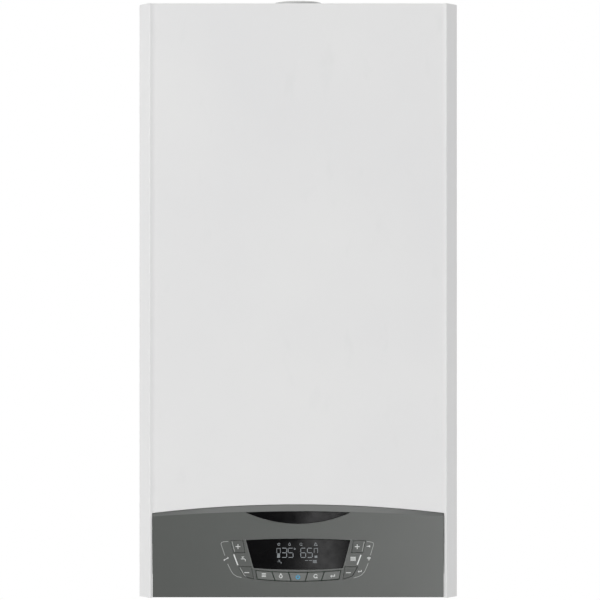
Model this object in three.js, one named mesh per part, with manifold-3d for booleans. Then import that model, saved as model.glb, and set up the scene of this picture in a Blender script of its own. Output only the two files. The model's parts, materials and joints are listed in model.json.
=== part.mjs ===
// Wall-hung condensing combination boiler, as separate pieces. Millimetres, +Z up.
// +X is to the viewer's right and the front faces -Y; the wall is the plane y = 0.
// Heights are counted from the casing's bottom edge. The finished group is then lowered, so that
// its origin lies on the wall at the centre of the hanging bracket.
import * as THREE from "three";
import { mergeVertices } from "three/addons/utils/BufferGeometryUtils.js";
import Module from "manifold-3d";

// ---------------------------------------------------------------- driving sizes
// Casing
const CASE_WIDTH = 400;
const CASE_HEIGHT = 745;
const CASE_DEPTH = 319;
const SHEET = 1.2;
const CLEARANCE = 0.3;
const BEVEL_WIDTH = 14;
const BEVEL_DEPTH = 18;
const COVER_RETURN = 37;
const COVER_TOP_FLANGE = 34;
const COVER_LEG = 3;
const SIDE_FLANGE = 12;
const FRAME_FLANGE = 20;
const FRAME_FROM_WALL = 4.5;
const FRAME_BOTTOM = 12;
const BASE_HEIGHT = 62;
const BASE_BEHIND_BOX = 10.2;

// Hanging bracket on the wall
const BRACKET_DROP = 55;
const BRACKET_WIDTH = 300;
const BRACKET_TALL = 50;
const BRACKET_STEEL = 2.5;
const HOOK_SPACING = 200;
const HOOK_WIDTH = 30;
const HOOK_TALL = 14;
const WALL_SCREW_SPACING = 120;
const WALL_SCREW_RADIUS = 4;

// Control panel
const FASCIA_PROUD = 2;
const FASCIA_WALL = 3;
const FASCIA_GAP = 0.6;
const FASCIA_RIM_WALL = 2;
const FASCIA_RIM_DEPTH = 10;
const FASCIA_BOTTOM = 0.8;
const ARCH_TOP = 116.5;
const ARCH_SAG = 10.8;
const BAND_HEIGHT = 7.8;
const BAND_END_HEIGHT = 3.7;
const BAND_DEPTH = 2.2;
const PANEL_HINGE_INSET = 19;
const PANEL_HINGE_HEIGHT = 8;
const HINGE_PIN_RADIUS = 2.5;
const HINGE_EYE_RADIUS = 6;
const RUNNING_FIT = 0.08;
const LUG_STEEL = 2.5;
const LUG_INSET = 9.4;
const BOX_WIDTH = 300;
const BOX_BOTTOM = 8;
const BOX_TOP = 92;
const BOX_DEPTH = 53.5;
const BOX_WALL = 2;
const BOARD_THICKNESS = 1.6;
const BOARD_STANDOFF = 2.1;
const MODULE_SIDE_ROOM = 25;
const MODULE_SPACE = 2;
const LCD_INSET = 6;
const LCD_BELOW = 4;
const LCD_ABOVE = 3;

// What stands on the main board: x, height over the board's edge, then width, height and depth of
// the relays, plugs and chip, or radius and depth of the round capacitors.
const BOARD_BLOCKS = [
  [-105, 38, 44, 38, 30],
  [-60, 20, 20, 16, 15],
  [-36, 20, 20, 16, 15],
  [20, 45, 22, 22, 3],
  [85, 14, 70, 10, 10],
  [105, 45, 30, 12, 8],
];
const BOARD_CANS = [
  [-66, 48, 9, 24],
  [-44, 50, 6, 16],
];

// Display, badge and keys, on the fascia's face
const WINDOW_TOP_WIDTH = 131;
const WINDOW_BOTTOM_WIDTH = 111.5;
const WINDOW_BOTTOM = 37.6;
const WINDOW_TOP = 72.2;
const WINDOW_CROWN = 1.9;
const BADGE_WIDTH = 130;
const BADGE_TOP = 108.4;
const BADGE_DROP = 15.4;
const BADGE_TIP_DROP = 1.5;
const KEY_TRAVEL = 0.8;
const KEY_CLEARANCE = 0.35;
const KEY_PROUD = 0.7;
const KEY_STEM_RADIUS = 1.5;
const KEY_STEM_GAP = 0.1;
const ROW_TOP = 34.5;
const ROW_BOTTOM = 23.6;
const ROW_TOP_SAG = 2.4;
const ROW_BOTTOM_SAG = 2.9;
const ROW_TOP_DIVIDERS = [-53.5, -32.8, -12, 12, 32.8, 53.5];
const ROW_BOTTOM_DIVIDERS = [-51.3, -29.1, -8.9, 8.9, 29.1, 51.3];
const PLUS_KEY = [[-84.7, 71.8], [-80.6, 56.6], [-66.8, 56.8], [-69.2, 72.1]];
const MINUS_KEY = [[-74.4, 39.1], [-67.9, 27.3], [-56.1, 23.6], [-58.5, 39.1]];

// Flue outlet
const FLUE_RADIUS = 31.5;
const FLUE_WALL = 3;
const FLUE_RISE = 17;
const FLUE_FROM_WALL = 165;
const FLUE_DEPTH = 45;
const COLLAR_RADIUS = 52;
const COLLAR_RISE = 9;
const COLLAR_WALL = 2.5;
const SPOKES = 4;
const SPOKE_WIDTH = 8;

// Heat cell
const CELL_X = -55;
const CELL_DROP = 200;
const CELL_RADIUS = 90;
const CELL_FROM_WALL = 95;
const CELL_WALL = 3;
const CELL_FLANGE = 8;
const CELL_FOOT_TALL = 18;
const PORT_RADIUS = 12;
const PORT_OFFSET = 36;
const PORT_STUB = 14;
const PORT_FROM_WALL = 130;
const COIL_TURNS = 6;
const COIL_SIDE_GAP = 7;
const COIL_TUBE = 20;
const COIL_END_GAP = 6;
const DOOR_THICKNESS = 10;
const DOOR_RECESS = 2;
const BURNER_RADIUS = 32;
const BURNER_LENGTH = 110;
const BURNER_FLANGE = 6;
const BURNER_WALL = 2;
const ELECTRODE_RADIUS = 1.5;
const ELECTRODE_COLLAR_RADIUS = 7;
const ELECTRODE_COLLAR_LENGTH = 18;

// Fan, mixer and silencer
const FAN_SIDE_GAP = 2;
const FAN_RISE = 15;
const FAN_RADIUS = 60;
const FAN_WIDTH = 50;
const FAN_WALL = 3;
const FAN_BLADES = 12;
const FAN_SHAFT_RADIUS = 3;
const FAN_MOTOR_RADIUS = 32;
const FAN_MOTOR_LENGTH = 21;
const FAN_MOTOR_SPACE = 9.5;
const ELBOW_DEPTH = 34.7;
const OUTLET_TALL = 32;
const OUTLET_REACH = 66;
const MIXER_RADIUS = 22;
const MIXER_REACH = 32.5;
const SILENCER_WIDTH = 120;
const SILENCER_DEPTH = 110;
const SILENCER_TALL = 77;
const SILENCER_HEADROOM = 20;

// Water side
const TAIL_FROM_WALL = 120;
const TAIL_PITCH = 67;
const TAIL_RADIUS = 9;
const TAIL_BORE = 7;
const TAIL_END = 6;
const TAIL_BEND = 12;
const NUT_RADIUS = 15;
const NUT_TALL = 14;
const PIPE_RADIUS = 9;
const PIPE_BEND = 20;
const PIPE_TURN = 28;
const PLATE_LENGTH = 184;
const PLATE_DEPTH = 40;
const PLATE_TALL = 75;
const PLATE_LIP = 2;
const PLATE_X = -8;
const PLATE_FROM_WALL = 140;
const PLATE_BOTTOM = 125;
const PLATE_COUNT = 10;
const PUMP_Z = 150;
const PUMP_RADIUS = 36;
const PUMP_CHAMBER_RADIUS = 26;
const PUMP_DEPTH = 50;
const PUMP_INLET_NECK = 12;
const PUMP_OUTLET_NECK = 14;
const PUMP_MOTOR_RADIUS = 42;
const PUMP_MOTOR_LENGTH = 95;
const PUMP_MOTOR_EDGE = 6;
const PUMP_WAIST = 5;
const PUMP_WAIST_LENGTH = 26;
const PUMP_TERMINALS = 14;
const PUMP_SHAFT_RADIUS = 3;
const PUMP_WHEEL_GAP = 3;
const PUMP_WHEEL_DISC = 2;
const PUMP_BLADES = 6;
const PUMP_BLADE = 1.5;
const DIVERTER_RADIUS = 17;
const DIVERTER_BOTTOM = 104;
const DIVERTER_TALL = 92;
const DIVERTER_TRAVEL = 7;
const DIVERTER_STUB = 6;
const DIVERTER_LINK_RADIUS = 6;
const DIVERTER_SEAT_WALL = 7.5;
const DIVERTER_SPINDLE_RADIUS = 2.8;
const DIVERTER_MOTOR_SIDE = 46;
const DIVERTER_MOTOR_TALL = 54;
const DIVERTER_CAP_TALL = 6;
const VESSEL_RADIUS = 160;
const VESSEL_THICKNESS = 66;
const VESSEL_FOOT = 6;
const VESSEL_WALL = 2;
const VESSEL_SEAM = 6;
const VESSEL_SHOULDER = 18;
const VESSEL_Z = 325;
const HOSE_RADIUS = 4.5;
const VENT_RADIUS = 10;
const VENT_TALL = 44;
const VENT_FOOT = 5;
const VENT_CAP = 7;

// Gas side, condensate and the fittings under the base
const GAS_VALVE_WIDTH = 62;
const GAS_VALVE_DEPTH = 66;
const GAS_VALVE_TALL = 84;
const GAS_VALVE_X = 145;
const GAS_VALVE_FROM_WALL = 168;
const GAS_VALVE_DROP = 175;
const GAS_VALVE_NUT = 10;
const GAS_COIL_RADIUS = 21;
const GAS_COIL_LENGTH = 20;
const GAS_COIL_RISE = 52;
const GAS_PIPE_RADIUS = 8;
const GAS_PIPE_WALL = 2;
const GAS_PIPE_BEND = 24;
const GAS_PIPE_ABOVE_PLATES = 24;
const GAS_PIPE_BELOW_VALVE = 30;
const GAS_OUTLET_BEND = 10;
const TRAP_RADIUS = 25;
const TRAP_INSET = 18;
const TRAP_TALL = 180;
const TRAP_NECK_RADIUS = 10;
const TRAP_NECK_LENGTH = 50;
const TRAP_SHOULDER = 8;
const TRAP_RIM = 2;
const TRAP_OUTLET_RADIUS = 8;
const GAUGE_X = -110;
const GAUGE_INSET = 30;
const GAUGE_RADIUS = 20;
const GAUGE_TALL = 24;
const GAUGE_RIM = 2;
const GAUGE_DIAL_DEPTH = 5;
const GAUGE_TAIL = 10;
const NEEDLE_RADIUS = 2.5;
const NEEDLE_TAIL = 4;
const TAP_X = 32;
const TAP_INSET = 38;
const TAP_RADIUS = 9;
const TAP_NUT_TALL = 14;
const TAP_KNOB_RADIUS = 14;
const TAP_KNOB_TALL = 16;
const TAP_LOBES = 6;
const TAP_LOBE_RADIUS = 3.5;
const TAP_PIPE_RADIUS = 6;
const SAFETY_RISE = 16;
const SAFETY_RADIUS = 9;
const SAFETY_LENGTH = 30;
const SAFETY_NUT = 8;
const SAFETY_NUT_INSET = 4;
const SAFETY_KNOB_RADIUS = 12;
const SAFETY_KNOB_LENGTH = 20;
const SAFETY_RIBS = 8;
const SAFETY_RIB = 3;

// ---------------------------------------------------------------- places worked out from the sizes
const HALF_CASE = CASE_WIDTH / 2;
const fasciaFront = -CASE_DEPTH;
const coverFront = fasciaFront + FASCIA_PROUD;
const bevelBack = coverFront + BEVEL_DEPTH;
const coverBack = bevelBack + COVER_RETURN;
const crease = HALF_CASE - BEVEL_WIDTH;
const fasciaHalf = crease - COVER_LEG - FASCIA_GAP;
const fasciaBack = fasciaFront + FASCIA_WALL;
const sideInner = HALF_CASE - SHEET - CLEARANCE;
const topUnder = CASE_HEIGHT - SHEET;
const flangeBack = coverFront + COVER_TOP_FLANGE;
const frameFront = -FRAME_FROM_WALL - SHEET;
const frameTop = topUnder - CLEARANCE;
const bracketHeight = CASE_HEIGHT - BRACKET_DROP;

const hingeY = fasciaFront + PANEL_HINGE_INSET;
const hingeZ = PANEL_HINGE_HEIGHT;
const lugX = fasciaHalf - LUG_INSET;
const boxBack = fasciaBack + CLEARANCE + BOX_DEPTH;
const boxFloor = boxBack - BOX_WALL;
const boardBack = boxFloor - BOARD_STANDOFF;
const boardFront = boardBack - BOARD_THICKNESS;
const moduleFront = fasciaBack + FASCIA_WALL + MODULE_SPACE;
const stemEnd = moduleFront - KEY_TRAVEL - KEY_STEM_GAP;

const baseTop = BASE_HEIGHT + SHEET;
const baseHalf = sideInner - SHEET - CLEARANCE;
const baseFront = boxBack + BASE_BEHIND_BOX;

// From the front backwards: fan motor, fan and elbow, burner door, heat cell.
const fanFront = coverFront + SHEET + FAN_MOTOR_SPACE + FAN_MOTOR_LENGTH + CLEARANCE;
const fanBack = fanFront + FAN_WIDTH;
const doorFront = fanFront + ELBOW_DEPTH;
const cellFront = doorFront + DOOR_THICKNESS + CLEARANCE;
const cellBack = -CELL_FROM_WALL;
const cellZ = CASE_HEIGHT - CELL_DROP;
const cellUnderside = cellZ - CELL_RADIUS - CLEARANCE;
const portBottom = cellZ - Math.sqrt(CELL_RADIUS ** 2 - PORT_OFFSET ** 2) - PORT_STUB;
const coilOuter = CELL_RADIUS - CELL_WALL - COIL_SIDE_GAP;
const coilInner = coilOuter - COIL_TUBE;
const flueY = -FLUE_FROM_WALL;

const fanX = CELL_X + CELL_RADIUS + CELL_FLANGE + FAN_SIDE_GAP + FAN_RADIUS;
const fanZ = cellZ + FAN_RISE;
const outletX = fanX - OUTLET_REACH;
const outletTop = fanZ + FAN_RADIUS;
const outletBottom = outletTop - OUTLET_TALL;
const mixerY = fanBack + MIXER_REACH;
const mixerBottom = fanZ - 2 * MIXER_RADIUS;
const silencerBack = mixerY + SILENCER_DEPTH / 4;
const silencerTop = CASE_HEIGHT - SILENCER_HEADROOM;
const silencerBottom = silencerTop - SILENCER_TALL;
const gasValveY = -GAS_VALVE_FROM_WALL - GAS_VALVE_DEPTH / 2;
const gasValveZ = fanZ - GAS_VALVE_DROP;

const tailY = -TAIL_FROM_WALL;
const plateY = -PLATE_FROM_WALL - PLATE_DEPTH / 2;
const pumpX = 2 * TAIL_PITCH;
const pumpFront = tailY - PUMP_DEPTH / 2;
const pumpTop = PUMP_Z + PUMP_RADIUS;
const ventX = pumpX - 0.8 * PUMP_RADIUS;
const hoseX = pumpX + 0.8 * PUMP_RADIUS;
const hoseY = tailY + PIPE_RADIUS + 1.4 * HOSE_RADIUS;
const diverterX = -2 * TAIL_PITCH;
const diverterTop = DIVERTER_BOTTOM + DIVERTER_TALL;
const diverterMiddle = DIVERTER_BOTTOM + DIVERTER_TALL / 2;
const vesselBack = frameFront - CLEARANCE - VESSEL_FOOT;
const vesselFront = vesselBack - VESSEL_THICKNESS;
const vesselPort = [0.6 * VESSEL_RADIUS, VESSEL_Z - 0.2 * VESSEL_RADIUS];

const trapY = cellFront + TRAP_INSET;
const trapTop = cellUnderside - TRAP_NECK_LENGTH;
const gaugeY = baseFront + GAUGE_INSET;
const gaugeLow = BASE_HEIGHT - GAUGE_TALL / 2;
const tapY = baseFront + TAP_INSET;
const nutBottom = TAIL_END + NUT_TALL;
const nutTop = nutBottom + NUT_TALL;
const safetyZ = DIVERTER_BOTTOM + SAFETY_RISE;
const safetyBack = tailY - DIVERTER_RADIUS - CLEARANCE;
const safetyOutletY = safetyBack - SAFETY_LENGTH / 2;

// ---------------------------------------------------------------- solids
const LARGE_SIDES = 28;
const SIDES = 16;
const SMALL_SIDES = 10;
const NUT_SIDES = 6;
const HOSE_SIDES = 8;
const BEND_STEPS = 3;
const MERGE_TOLERANCE = 1e-4;
const THROUGH = 1;

const wasm = await Module();
wasm.setup();

function solidOf(geometry) {
  const bare = geometry.clone();
  for (const extra of ["normal", "uv"]) bare.deleteAttribute(extra);
  const merged = mergeVertices(bare, MERGE_TOLERANCE);
  const points = merged.attributes.position.array;
  const corners = merged.index.array;
  const at = (i) => new THREE.Vector3().fromArray(points, 3 * i);
  const faces = [];
  let volume = 0;
  for (let i = 0; i < corners.length; i += 3) {
    const [a, b, c] = corners.slice(i, i + 3);
    if (a === b || b === c || c === a) continue;
    faces.push([a, b, c]);
    volume += at(a).dot(at(b).cross(at(c)));
  }
  if (volume < 0) faces.forEach((face) => face.reverse());
  const triVerts = new Uint32Array(faces.flat());
  return new wasm.Manifold(new wasm.Mesh({ numProp: 3, vertProperties: points, triVerts }));
}

function geometryOf(solid) {
  const mesh = solid.getMesh();
  const geometry = new THREE.BufferGeometry();
  geometry.setAttribute("position", new THREE.BufferAttribute(new Float32Array(mesh.vertProperties), 3));
  geometry.setIndex(new THREE.BufferAttribute(new Uint32Array(mesh.triVerts), 1));
  geometry.computeVertexNormals();
  return geometry;
}

const join = (first, ...others) => others.reduce((whole, next) => whole.add(next), first);
const carve = (body, ...tools) => tools.reduce((rest, tool) => rest.subtract(tool), body);

// A block between two limits along each axis.
function block([x0, x1], [y0, y1], [z0, z1]) {
  const geometry = new THREE.BoxGeometry(Math.abs(x1 - x0), Math.abs(y1 - y0), Math.abs(z1 - z0));
  return solidOf(geometry.translate((x0 + x1) / 2, (y0 + y1) / 2, (z0 + z1) / 2));
}

// Turns a shape made along +Y onto an axis, and moves it to the other two coordinates of its centre.
function alongAxis(geometry, axis, [u, v]) {
  if (axis === "z") return geometry.rotateX(Math.PI / 2).translate(u, v, 0);
  if (axis === "x") return geometry.rotateZ(-Math.PI / 2).translate(0, u, v);
  return geometry.translate(u, 0, v);
}

function rod(axis, centre, radius, from, to, sides = SIDES) {
  const geometry = new THREE.CylinderGeometry(radius, radius, Math.abs(to - from), sides);
  return solidOf(alongAxis(geometry.translate(0, (from + to) / 2, 0), axis, centre));
}

// A turned shape; each point of its profile is [radius, place along the axis].
function turned(axis, centre, profile, sides = SIDES) {
  const points = profile.map(([radius, along]) => new THREE.Vector2(radius, along));
  return solidOf(alongAxis(new THREE.LatheGeometry(points, sides), axis, centre));
}

const ring = (axis, centre, outer, inner, from, to, sides = SIDES) =>
  carve(rod(axis, centre, outer, from, to, sides),
    rod(axis, centre, inner, from - THROUGH, to + THROUGH, sides));

// Flat plates from an outline: facing the front (x, z), lying down (x, y), or on edge (y, z).
const outlineShape = (points) => new THREE.Shape(points.map(([a, b]) => new THREE.Vector2(a, b)));
const slab = (points, depth) =>
  new THREE.ExtrudeGeometry(outlineShape(points), { depth, bevelEnabled: false });
const facing = (points, back, front) =>
  solidOf(slab(points, back - front).rotateX(Math.PI / 2).translate(0, back, 0));
const lying = (points, low, high) => solidOf(slab(points, high - low).translate(0, 0, low));
function onEdge(points, from, to) {
  const turn = new THREE.Matrix4().makeBasis(
    new THREE.Vector3(0, 1, 0), new THREE.Vector3(0, 0, 1), new THREE.Vector3(1, 0, 0));
  return solidOf(slab(points, to - from).applyMatrix4(turn).translate(from, 0, 0));
}

// A solid through several front-facing outlines of equal point count, each { points, y }.
function lofted(layers) {
  const count = layers[0].points.length;
  const positions = layers.flatMap(({ points, y }) => points.flatMap(([x, z]) => [x, y, z]));
  const indices = [];
  for (let layer = 0; layer + 1 < layers.length; layer++) {
    for (let i = 0; i < count; i++) {
      const [a, b] = [layer * count + i, layer * count + ((i + 1) % count)];
      indices.push(a, b, b + count, a, b + count, a + count);
    }
  }
  const last = (layers.length - 1) * count;
  const cap = ({ points }) =>
    THREE.ShapeUtils.triangulateShape(points.map(([x, z]) => new THREE.Vector2(x, z)), []);
  for (const [a, b, c] of cap(layers[0])) indices.push(c, b, a);
  for (const [a, b, c] of cap(layers[layers.length - 1])) indices.push(last + a, last + b, last + c);
  const geometry = new THREE.BufferGeometry();
  geometry.setAttribute("position", new THREE.Float32BufferAttribute(positions, 3));
  return solidOf(geometry.setIndex(indices));
}

// Moves each side of an outline sideways, to the left of its path when the distance is positive.
function offset(points, distance, closed) {
  const direction = (from, to) => new THREE.Vector2(to[0] - from[0], to[1] - from[1]).normalize();
  return points.map((point, i) => {
    const before = closed || i > 0 ? points.at(i - 1) : null;
    const after = closed || i < points.length - 1 ? points[(i + 1) % points.length] : null;
    const a = direction(before ?? point, before ? point : after);
    const b = direction(after ? point : before, after ?? point);
    const [left, right] = [new THREE.Vector2(-a.y, a.x), new THREE.Vector2(-b.y, b.x)];
    const mitre = left.clone().add(right).normalize();
    mitre.multiplyScalar(distance / mitre.dot(left));
    return [point[0] + mitre.x, point[1] + mitre.y];
  });
}
const folded = (path, thickness) => [...path, ...offset(path, thickness, false).reverse()];
const grown = (points, distance) => offset(points, -distance, true);

// A route with rounded corners. Its stations lie at the ends of each straight and along each bend.
class PipeRoute extends THREE.Curve {
  constructor(points, bend) {
    super();
    const corners = points.map((point) => new THREE.Vector3(...point));
    const towards = (from, to) => to.clone().sub(from).normalize();
    this.stations = [{ point: corners[0], tangent: towards(corners[0], corners[1]) }];
    for (let i = 1; i < corners.length - 1; i++) {
      const corner = corners[i];
      const enter = corner.clone().addScaledVector(towards(corner, corners[i - 1]), bend);
      const leave = corner.clone().addScaledVector(towards(corner, corners[i + 1]), bend);
      const curve = new THREE.QuadraticBezierCurve3(enter, corner, leave);
      for (let step = 0; step <= BEND_STEPS; step++) {
        const t = step / BEND_STEPS;
        this.stations.push({ point: curve.getPoint(t), tangent: curve.getTangent(t) });
      }
    }
    this.stations.push({ point: corners.at(-1), tangent: towards(corners.at(-2), corners.at(-1)) });
    this.steps = this.stations.length - 1;
  }

  getPointAt(share) {
    return this.stations[Math.round(share * this.steps)].point.clone();
  }

  getTangentAt(share) {
    return this.stations[Math.round(share * this.steps)].tangent.clone();
  }
}

function pipe(points, radius, bend, sides = SMALL_SIDES) {
  const route = new PipeRoute(points, bend);
  const section = new THREE.Shape().absarc(0, 0, radius, 0, 2 * Math.PI);
  const options = { steps: route.steps, curveSegments: sides / 2, extrudePath: route };
  return solidOf(new THREE.ExtrudeGeometry(section, options));
}

// ---------------------------------------------------------------- the scene graph
const boiler = new THREE.Group();
boiler.position.z = -bracketHeight;

const finish = (color, roughness, metalness) => ({ color, roughness, metalness });
const WHITE_PAINT = finish(0xe3e4e4, 0.4, 0);
const ZINC = finish(0xb6bbbd, 0.45, 0.9);
const STAINLESS = finish(0xc4c4c2, 0.3, 1);
const CAST_ALUMINIUM = finish(0xa9abad, 0.55, 0.8);
const COPPER = finish(0xb8704a, 0.35, 1);
const BRASS = finish(0xb8964e, 0.35, 1);
const BLACK_PLASTIC = finish(0x1c1d1e, 0.5, 0);
const GREY_PLASTIC = finish(0x585b58, 0.35, 0);
const PALE_PLASTIC = finish(0xd2d2cc, 0.5, 0);
const RED_PAINT = finish(0x9a1f1c, 0.45, 0);
const RED_PLASTIC = finish(0xb22a22, 0.45, 0);
const BLUE_PLASTIC = finish(0x2a5f9c, 0.45, 0);
const GREEN_BOARD = finish(0x2c5a3c, 0.5, 0);
const BLACK_GLASS = finish(0x08090a, 0.08, 0);

function piece(name, solid, look) {
  const mesh = new THREE.Mesh(geometryOf(solid), new THREE.MeshStandardMaterial(look));
  mesh.name = name;
  boiler.add(mesh);
}

// ---------------------------------------------------------------- casing and bracket
function wallBracket() {
  const low = bracketHeight - BRACKET_TALL / 2;
  const high = bracketHeight + BRACKET_TALL / 2;
  const front = -BRACKET_STEEL;
  let bracket = block([-BRACKET_WIDTH / 2, BRACKET_WIDTH / 2], [front, 0], [low, high]);
  const hookInner = frameFront - CLEARANCE;
  const path = [[front / 2, high], [hookInner, high], [hookInner, high + HOOK_TALL]];
  const profile = folded(path, BRACKET_STEEL);
  for (const side of [-1, 1]) {
    const x = side * HOOK_SPACING / 2;
    bracket = bracket.add(onEdge(profile, x - HOOK_WIDTH / 2, x + HOOK_WIDTH / 2));
    const screw = [side * WALL_SCREW_SPACING / 2, bracketHeight];
    bracket = bracket.subtract(rod("y", screw, WALL_SCREW_RADIUS, front - THROUGH, THROUGH, SMALL_SIDES));
  }
  return bracket;
}

function backFrame() {
  const flangeFront = frameFront - FRAME_FLANGE;
  const path = [[sideInner, flangeFront], [sideInner, -FRAME_FROM_WALL],
    [-sideInner, -FRAME_FROM_WALL], [-sideInner, flangeFront]];
  const hookTop = bracketHeight + BRACKET_TALL / 2;
  const slots = [-1, 1].map((side) => {
    const middle = side * HOOK_SPACING / 2;
    const half = HOOK_WIDTH / 2 + CLEARANCE;
    return block([middle - half, middle + half], [frameFront - THROUGH, -FRAME_FROM_WALL + THROUGH],
      [hookTop - BRACKET_STEEL - HOOK_TALL - CLEARANCE, hookTop + CLEARANCE]);
  });
  return carve(lying(folded(path, SHEET), FRAME_BOTTOM, frameTop), ...slots);
}

function topPlate() {
  const front = flangeBack + CLEARANCE;
  const under = topUnder - CLEARANCE;
  const lipHalf = crease - BEVEL_DEPTH;
  const plate = block([-sideInner, sideInner], [front, -FRAME_FROM_WALL], [topUnder, CASE_HEIGHT]);
  const lip = block([-lipHalf, lipHalf], [bevelBack, front + SIDE_FLANGE], [under - SHEET, under]);
  const step = block([-lipHalf, lipHalf], [front, front + SIDE_FLANGE],
    [under - SHEET, CASE_HEIGHT - SHEET / 2]);
  const hole = COLLAR_RADIUS - 2 * COLLAR_WALL;
  return carve(join(plate, lip, step),
    rod("z", [0, flueY], hole, under - SHEET - THROUGH, CASE_HEIGHT + THROUGH, LARGE_SIDES));
}

// Where pipes and fittings pass through the base, and how wide they are there.
const fittingsThroughBase = [
  ...[-2, -1, 1, 2].map((step) => [step * TAIL_PITCH, tailY, TAIL_RADIUS]),
  [0, tailY, GAS_PIPE_RADIUS],
  [CELL_X, trapY, TRAP_OUTLET_RADIUS],
  [GAUGE_X, gaugeY, GAUGE_RADIUS],
  [TAP_X, tapY, TAP_RADIUS],
  [diverterX, safetyOutletY, SAFETY_RADIUS / 2],
];

function basePlate() {
  const path = [[baseFront, baseTop + SIDE_FLANGE], [baseFront, BASE_HEIGHT],
    [frameFront - CLEARANCE, BASE_HEIGHT]];
  let base = onEdge(folded(path, SHEET), -baseHalf, baseHalf);
  const rootBack = baseFront + 3 * SIDE_FLANGE;
  const arm = [[baseFront, BASE_HEIGHT - LUG_STEEL], [rootBack, BASE_HEIGHT], [rootBack, baseTop],
    [baseFront, baseTop + SIDE_FLANGE / 2], [hingeY, hingeZ + HINGE_EYE_RADIUS],
    [hingeY + HINGE_EYE_RADIUS, hingeZ]];
  const eye = (HINGE_PIN_RADIUS + RUNNING_FIT) / Math.cos(Math.PI / SIDES);
  for (const middle of [-lugX, lugX]) {
    const [low, high] = [middle - LUG_STEEL / 2, middle + LUG_STEEL / 2];
    base = join(base, onEdge(arm, low, high), rod("x", [hingeY, hingeZ], HINGE_EYE_RADIUS, low, high));
    base = base.subtract(rod("x", [hingeY, hingeZ], eye, low - THROUGH, high + THROUGH));
  }
  const holes = fittingsThroughBase.map(([x, y, radius]) => {
    const hole = radius / Math.cos(Math.PI / SMALL_SIDES) + CLEARANCE;
    return rod("z", [x, y], hole, BASE_HEIGHT - THROUGH, baseTop + THROUGH, SMALL_SIDES);
  });
  return carve(base, ...holes);
}

function sidePanel(side) {
  const [outer, front, back] = [side * HALF_CASE, coverBack + CLEARANCE, -SHEET];
  const path = [[outer, front], [outer, back], [outer - side * SIDE_FLANGE, back]];
  return lying(folded(path, side * SHEET), 0, CASE_HEIGHT);
}

function frontCover() {
  const path = [[-HALF_CASE, coverBack], [-HALF_CASE, bevelBack], [-crease, coverFront],
    [crease, coverFront], [HALF_CASE, bevelBack], [HALF_CASE, coverBack]];
  const shell = lying(folded(path, SHEET), 0, CASE_HEIGHT);
  const inner = HALF_CASE - SHEET / 2;
  const front = coverFront + SHEET / 2;
  const lid = lying([[-inner, flangeBack], [-inner, bevelBack], [-crease, front], [crease, front],
    [inner, bevelBack], [inner, flangeBack]], topUnder, CASE_HEIGHT);
  const opening = grown(fasciaOutline(ARCH_TOP, ARCH_SAG, -THROUGH), FASCIA_GAP);
  return carve(shell.add(lid), facing(opening, coverFront + SHEET + THROUGH, coverFront - THROUGH));
}

// ---------------------------------------------------------------- control panel
const ARCH_STEPS = 20;
const LENS_STEPS = 8;
const BADGE_STEPS = 12;

// Height of a shallow arch that falls by sag from its middle to the half width.
function archHeight(x, top, sag, half) {
  const radius = (half * half + sag * sag) / (2 * sag);
  return top - radius + Math.sqrt(radius * radius - x * x);
}

// Height on a curve that hangs below its ends by sag in the middle.
const sagging = (x, ends, sag, half) => ends - sag * (1 - (x / half) ** 2);

// A curve from right to left, as points; height gives the curve's z at each x.
const acrossFromRight = (half, count, height) => Array.from({ length: count + 1 }, (_, i) => {
  const x = half * (1 - (2 * i) / count);
  return [x, height(x)];
});

const fasciaOutline = (top, sag, bottom = FASCIA_BOTTOM) => [[-fasciaHalf, bottom], [fasciaHalf, bottom],
  ...acrossFromRight(fasciaHalf, ARCH_STEPS, (x) => archHeight(x, top, sag, fasciaHalf))];

function windowOutline(grow = 0) {
  const [top, bottom] = [WINDOW_TOP_WIDTH / 2, WINDOW_BOTTOM_WIDTH / 2];
  const upper = acrossFromRight(top, LENS_STEPS,
    (x) => archHeight(x, WINDOW_TOP + WINDOW_CROWN, WINDOW_CROWN, top));
  const lower = acrossFromRight(bottom, LENS_STEPS,
    (x) => sagging(x, WINDOW_BOTTOM, WINDOW_CROWN, bottom));
  return grown([...lower.reverse(), ...upper], grow);
}

function badgeOutline(grow = 0) {
  const half = BADGE_WIDTH / 2;
  const tip = BADGE_TOP - BADGE_TIP_DROP;
  const belly = BADGE_DROP - BADGE_TIP_DROP;
  const upper = acrossFromRight(half, LENS_STEPS, (x) => archHeight(x, BADGE_TOP, BADGE_TIP_DROP, half));
  const lower = acrossFromRight(half, BADGE_STEPS, (x) => sagging(x, tip, belly, half));
  return grown([...lower.reverse().slice(1, -1), ...upper], grow);
}

// Outline of the row's keys from one slanted divider to another.
function rowOutline(first, last) {
  const steps = 2 * (last - first);
  const between = (dividers, height, sag) => Array.from({ length: steps + 1 }, (_, i) => {
    const x = dividers[first] + (dividers[last] - dividers[first]) * (i / steps);
    return [x, sagging(x, height, sag, ROW_TOP_DIVIDERS.at(-1))];
  });
  return [...between(ROW_BOTTOM_DIVIDERS, ROW_BOTTOM, ROW_BOTTOM_SAG),
    ...between(ROW_TOP_DIVIDERS, ROW_TOP, ROW_TOP_SAG).reverse()];
}

const mirrored = (points) => points.map(([x, z]) => [-x, z]).reverse();
const SIDE_KEYS = {
  key_heating_plus: mirrored(PLUS_KEY),
  key_heating_minus: mirrored(MINUS_KEY),
  key_water_plus: PLUS_KEY,
  key_water_minus: MINUS_KEY,
};
const ROW_KEYS = ["key_menu", "key_comfort", "key_power", "key_auto", "key_reset"];

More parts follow.
